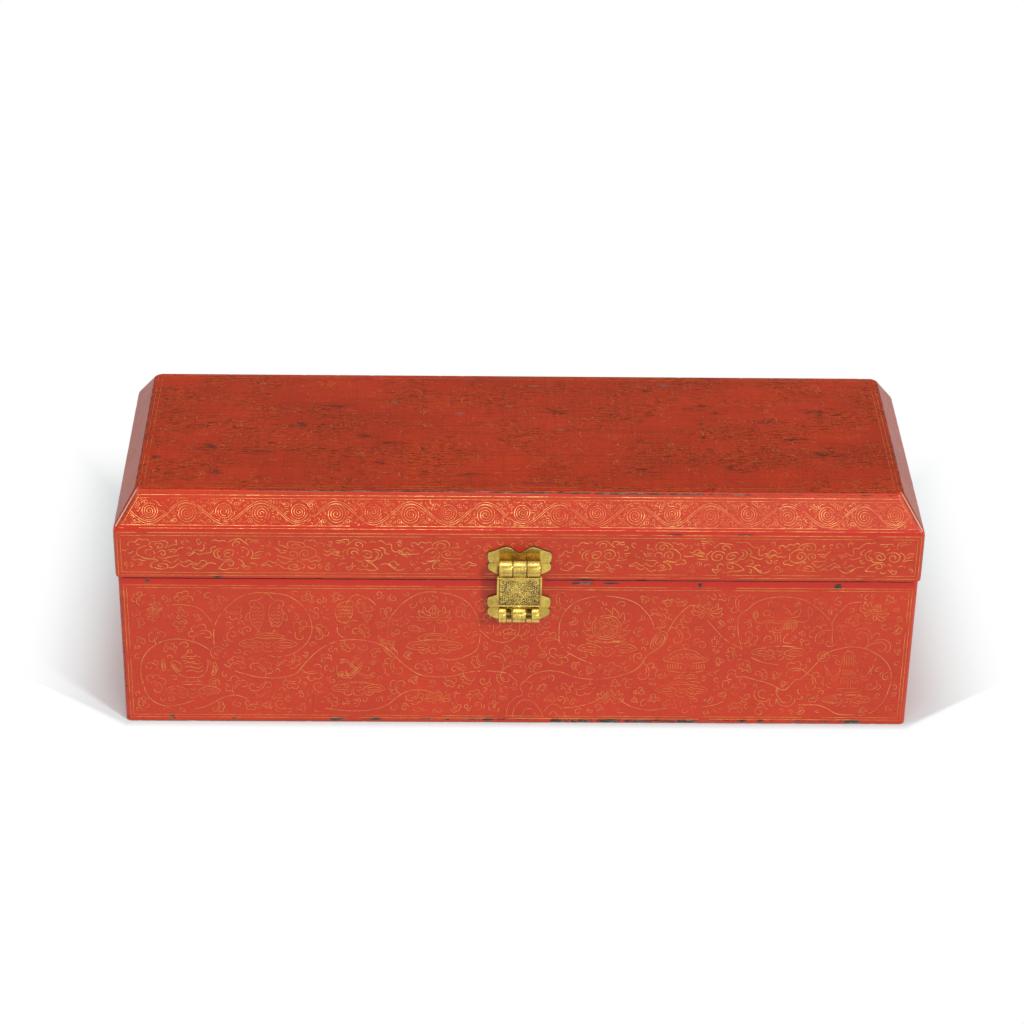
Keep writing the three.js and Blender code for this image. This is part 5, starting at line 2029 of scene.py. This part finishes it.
PANEL_BACK = 0.2  # from the pin's axis towards the box
ARM_FRONT, ARM_NEAR, ARM_FAR = 1.1, 3.4, 5.8
panel_points, panel_faces, panel_dark = hasp_panel()
panel_face = Face((0, hasp_y + PANEL_BACK, hasp_z), (1, 0, 0), (0, 0, 1))
drop = lock_z - hasp_z
hasp_parts = [(panel_face.lay(panel_points), panel_faces, panel_dark),
              moved(hasp_barrel(HASP_BORE), (0, hasp_y, hasp_z)),
              moved(hasp_barrel(LOCK_BORE), (0, hasp_y, lock_z))]
for low, high in [(-ARM_FAR, -ARM_NEAR), (drop + ARM_NEAR, drop + ARM_FAR)]:
    hasp_parts.append(block_solid((-HASP_KNUCKLE / 2, hasp_y - ARM_FRONT, hasp_z + low),
                                  (HASP_KNUCKLE / 2, hasp_y + PANEL_BACK, hasp_z + high)))
brass_piece("hasp", "hasp", hasp_parts)

# %% [markdown]
# The pins are the exact model's own. They need only a finish: a browner brass, because nobody rubs
# them.

# %% Pins
pins = [name for name in nodes if name.endswith("_pin") or "clinch" in name]
for name in pins:
    nodes[name].material_slots[0].material = pin_brass
print("pins:", len(pins))

# %% [markdown]
# ## Floor, lamps and background
# The box stands on a pale sheet. Near it the sheet is a real surface that takes its shadow, and
# further out it fades to plain white, so that no horizon shows. A large key lamp stands far off to
# the front right, low enough to throw the hasp's shadow to the left, and weaker lamps fill in.

# %% Floor
FLOOR_HALF, FLOOR_Z = 12.0, -0.0001


def seen_as_backdrop(r):
    """1 for rays from the camera and for those that metal, gloss or glass show."""
    path = r.node("ShaderNodeLightPath", output="Is Camera Ray")
    return path.larger(path.of("Is Glossy Ray")).larger(path.of("Is Transmission Ray"))


floor_mesh = bpy.data.meshes.new("floor")
floor_mesh.from_pydata([(x * FLOOR_HALF, y * FLOOR_HALF, FLOOR_Z)
                        for x, y in [(-1, -1), (1, -1), (1, 1), (-1, 1)]], [], [(0, 1, 2, 3)])
floor = bpy.data.objects.new("floor", floor_mesh)
bpy.context.scene.collection.objects.link(floor)
floor_finish, r, place = new_finish("pale_sheet")
spot = r.node("ShaderNodeSeparateXYZ", None, {"Vector": place})
x, y = spot.of("X"), spot.of("Y")
past_end = (x.larger(0.0 - x) - case_half[0]).larger(0.0)
beside = r.step(past_end, 0.0, 62.0)
before = r.step(past_end * 0.8 - y, case_half[1] + 0.5, case_half[1] + 6.0)
behind = r.step(y, case_half[1] + 40.0, case_half[1] + 150.0)
away = beside.larger(before).larger(behind)
paper = r.node("ShaderNodeBsdfDiffuse", None, {"Color": (0.82, 0.91, 0.92, 1)})
white = r.node("ShaderNodeEmission", None, {"Color": (1, 1, 1, 1), "Strength": 1.0})
sheet = r.node("ShaderNodeMixShader", None, {0: away * seen_as_backdrop(r), 1: paper, 2: white})
r.node("ShaderNodeOutputMaterial", None, {"Surface": sheet})
floor_mesh.materials.append(floor_finish)
print("the sheet is", 2 * FLOOR_HALF, "m wide")

# %% [markdown]
# The world is plain white to the camera and in reflections, and a weak even light to everything
# else. A bright world would do both at once, but it would wash the red out.

# %% World
world = bpy.data.worlds.new("studio")
bpy.context.scene.world = world
world.use_nodes = True
r = Recipe(world.node_tree)
AMBIENT = 0.3
ambient = r.node("ShaderNodeBackground", None, {"Color": (1, 1, 1, 1), "Strength": AMBIENT})
plain = r.node("ShaderNodeBackground", None, {"Color": (1, 1, 1, 1), "Strength": 1.0})
backdrop = r.node("ShaderNodeMixShader", None, {0: seen_as_backdrop(r), 1: ambient, 2: plain})
r.node("ShaderNodeOutputWorld", None, {"Surface": backdrop})
print("ambient light:", AMBIENT)


# %% [markdown]
# Each lamp is a round soft box that looks at the middle of the box. The small ones in front put
# the glints on the brass.

# %% Lamps
AIM = Vector((0, 0, 0.07))


def lamp(name, spot, size, power):
    data = bpy.data.lights.new(name, "AREA")
    data.shape = "DISK"
    data.size, data.energy = size, power
    made = bpy.data.objects.new(name, data)
    made.location = spot
    made.rotation_euler = (AIM - Vector(spot)).to_track_quat("-Z", "Y").to_euler()
    bpy.context.scene.collection.objects.link(made)
    print("lamp", name, power, "W")


lamp("key", (6.0, -6.6, 4.9), 1.2, 515)
lamp("front", (0.45, -3.4, 0.95), 0.3, 3.5)
lamp("glow", (0.6, -2.65, 1.95), 0.5, 2.2)
lamp("fill", (-2.8, -0.9, 2.0), 2.0, 32)
lamp("above", (0.0, -0.6, 2.2), 0.6, 9)
bpy.context.scene.view_settings.view_transform = "Standard"
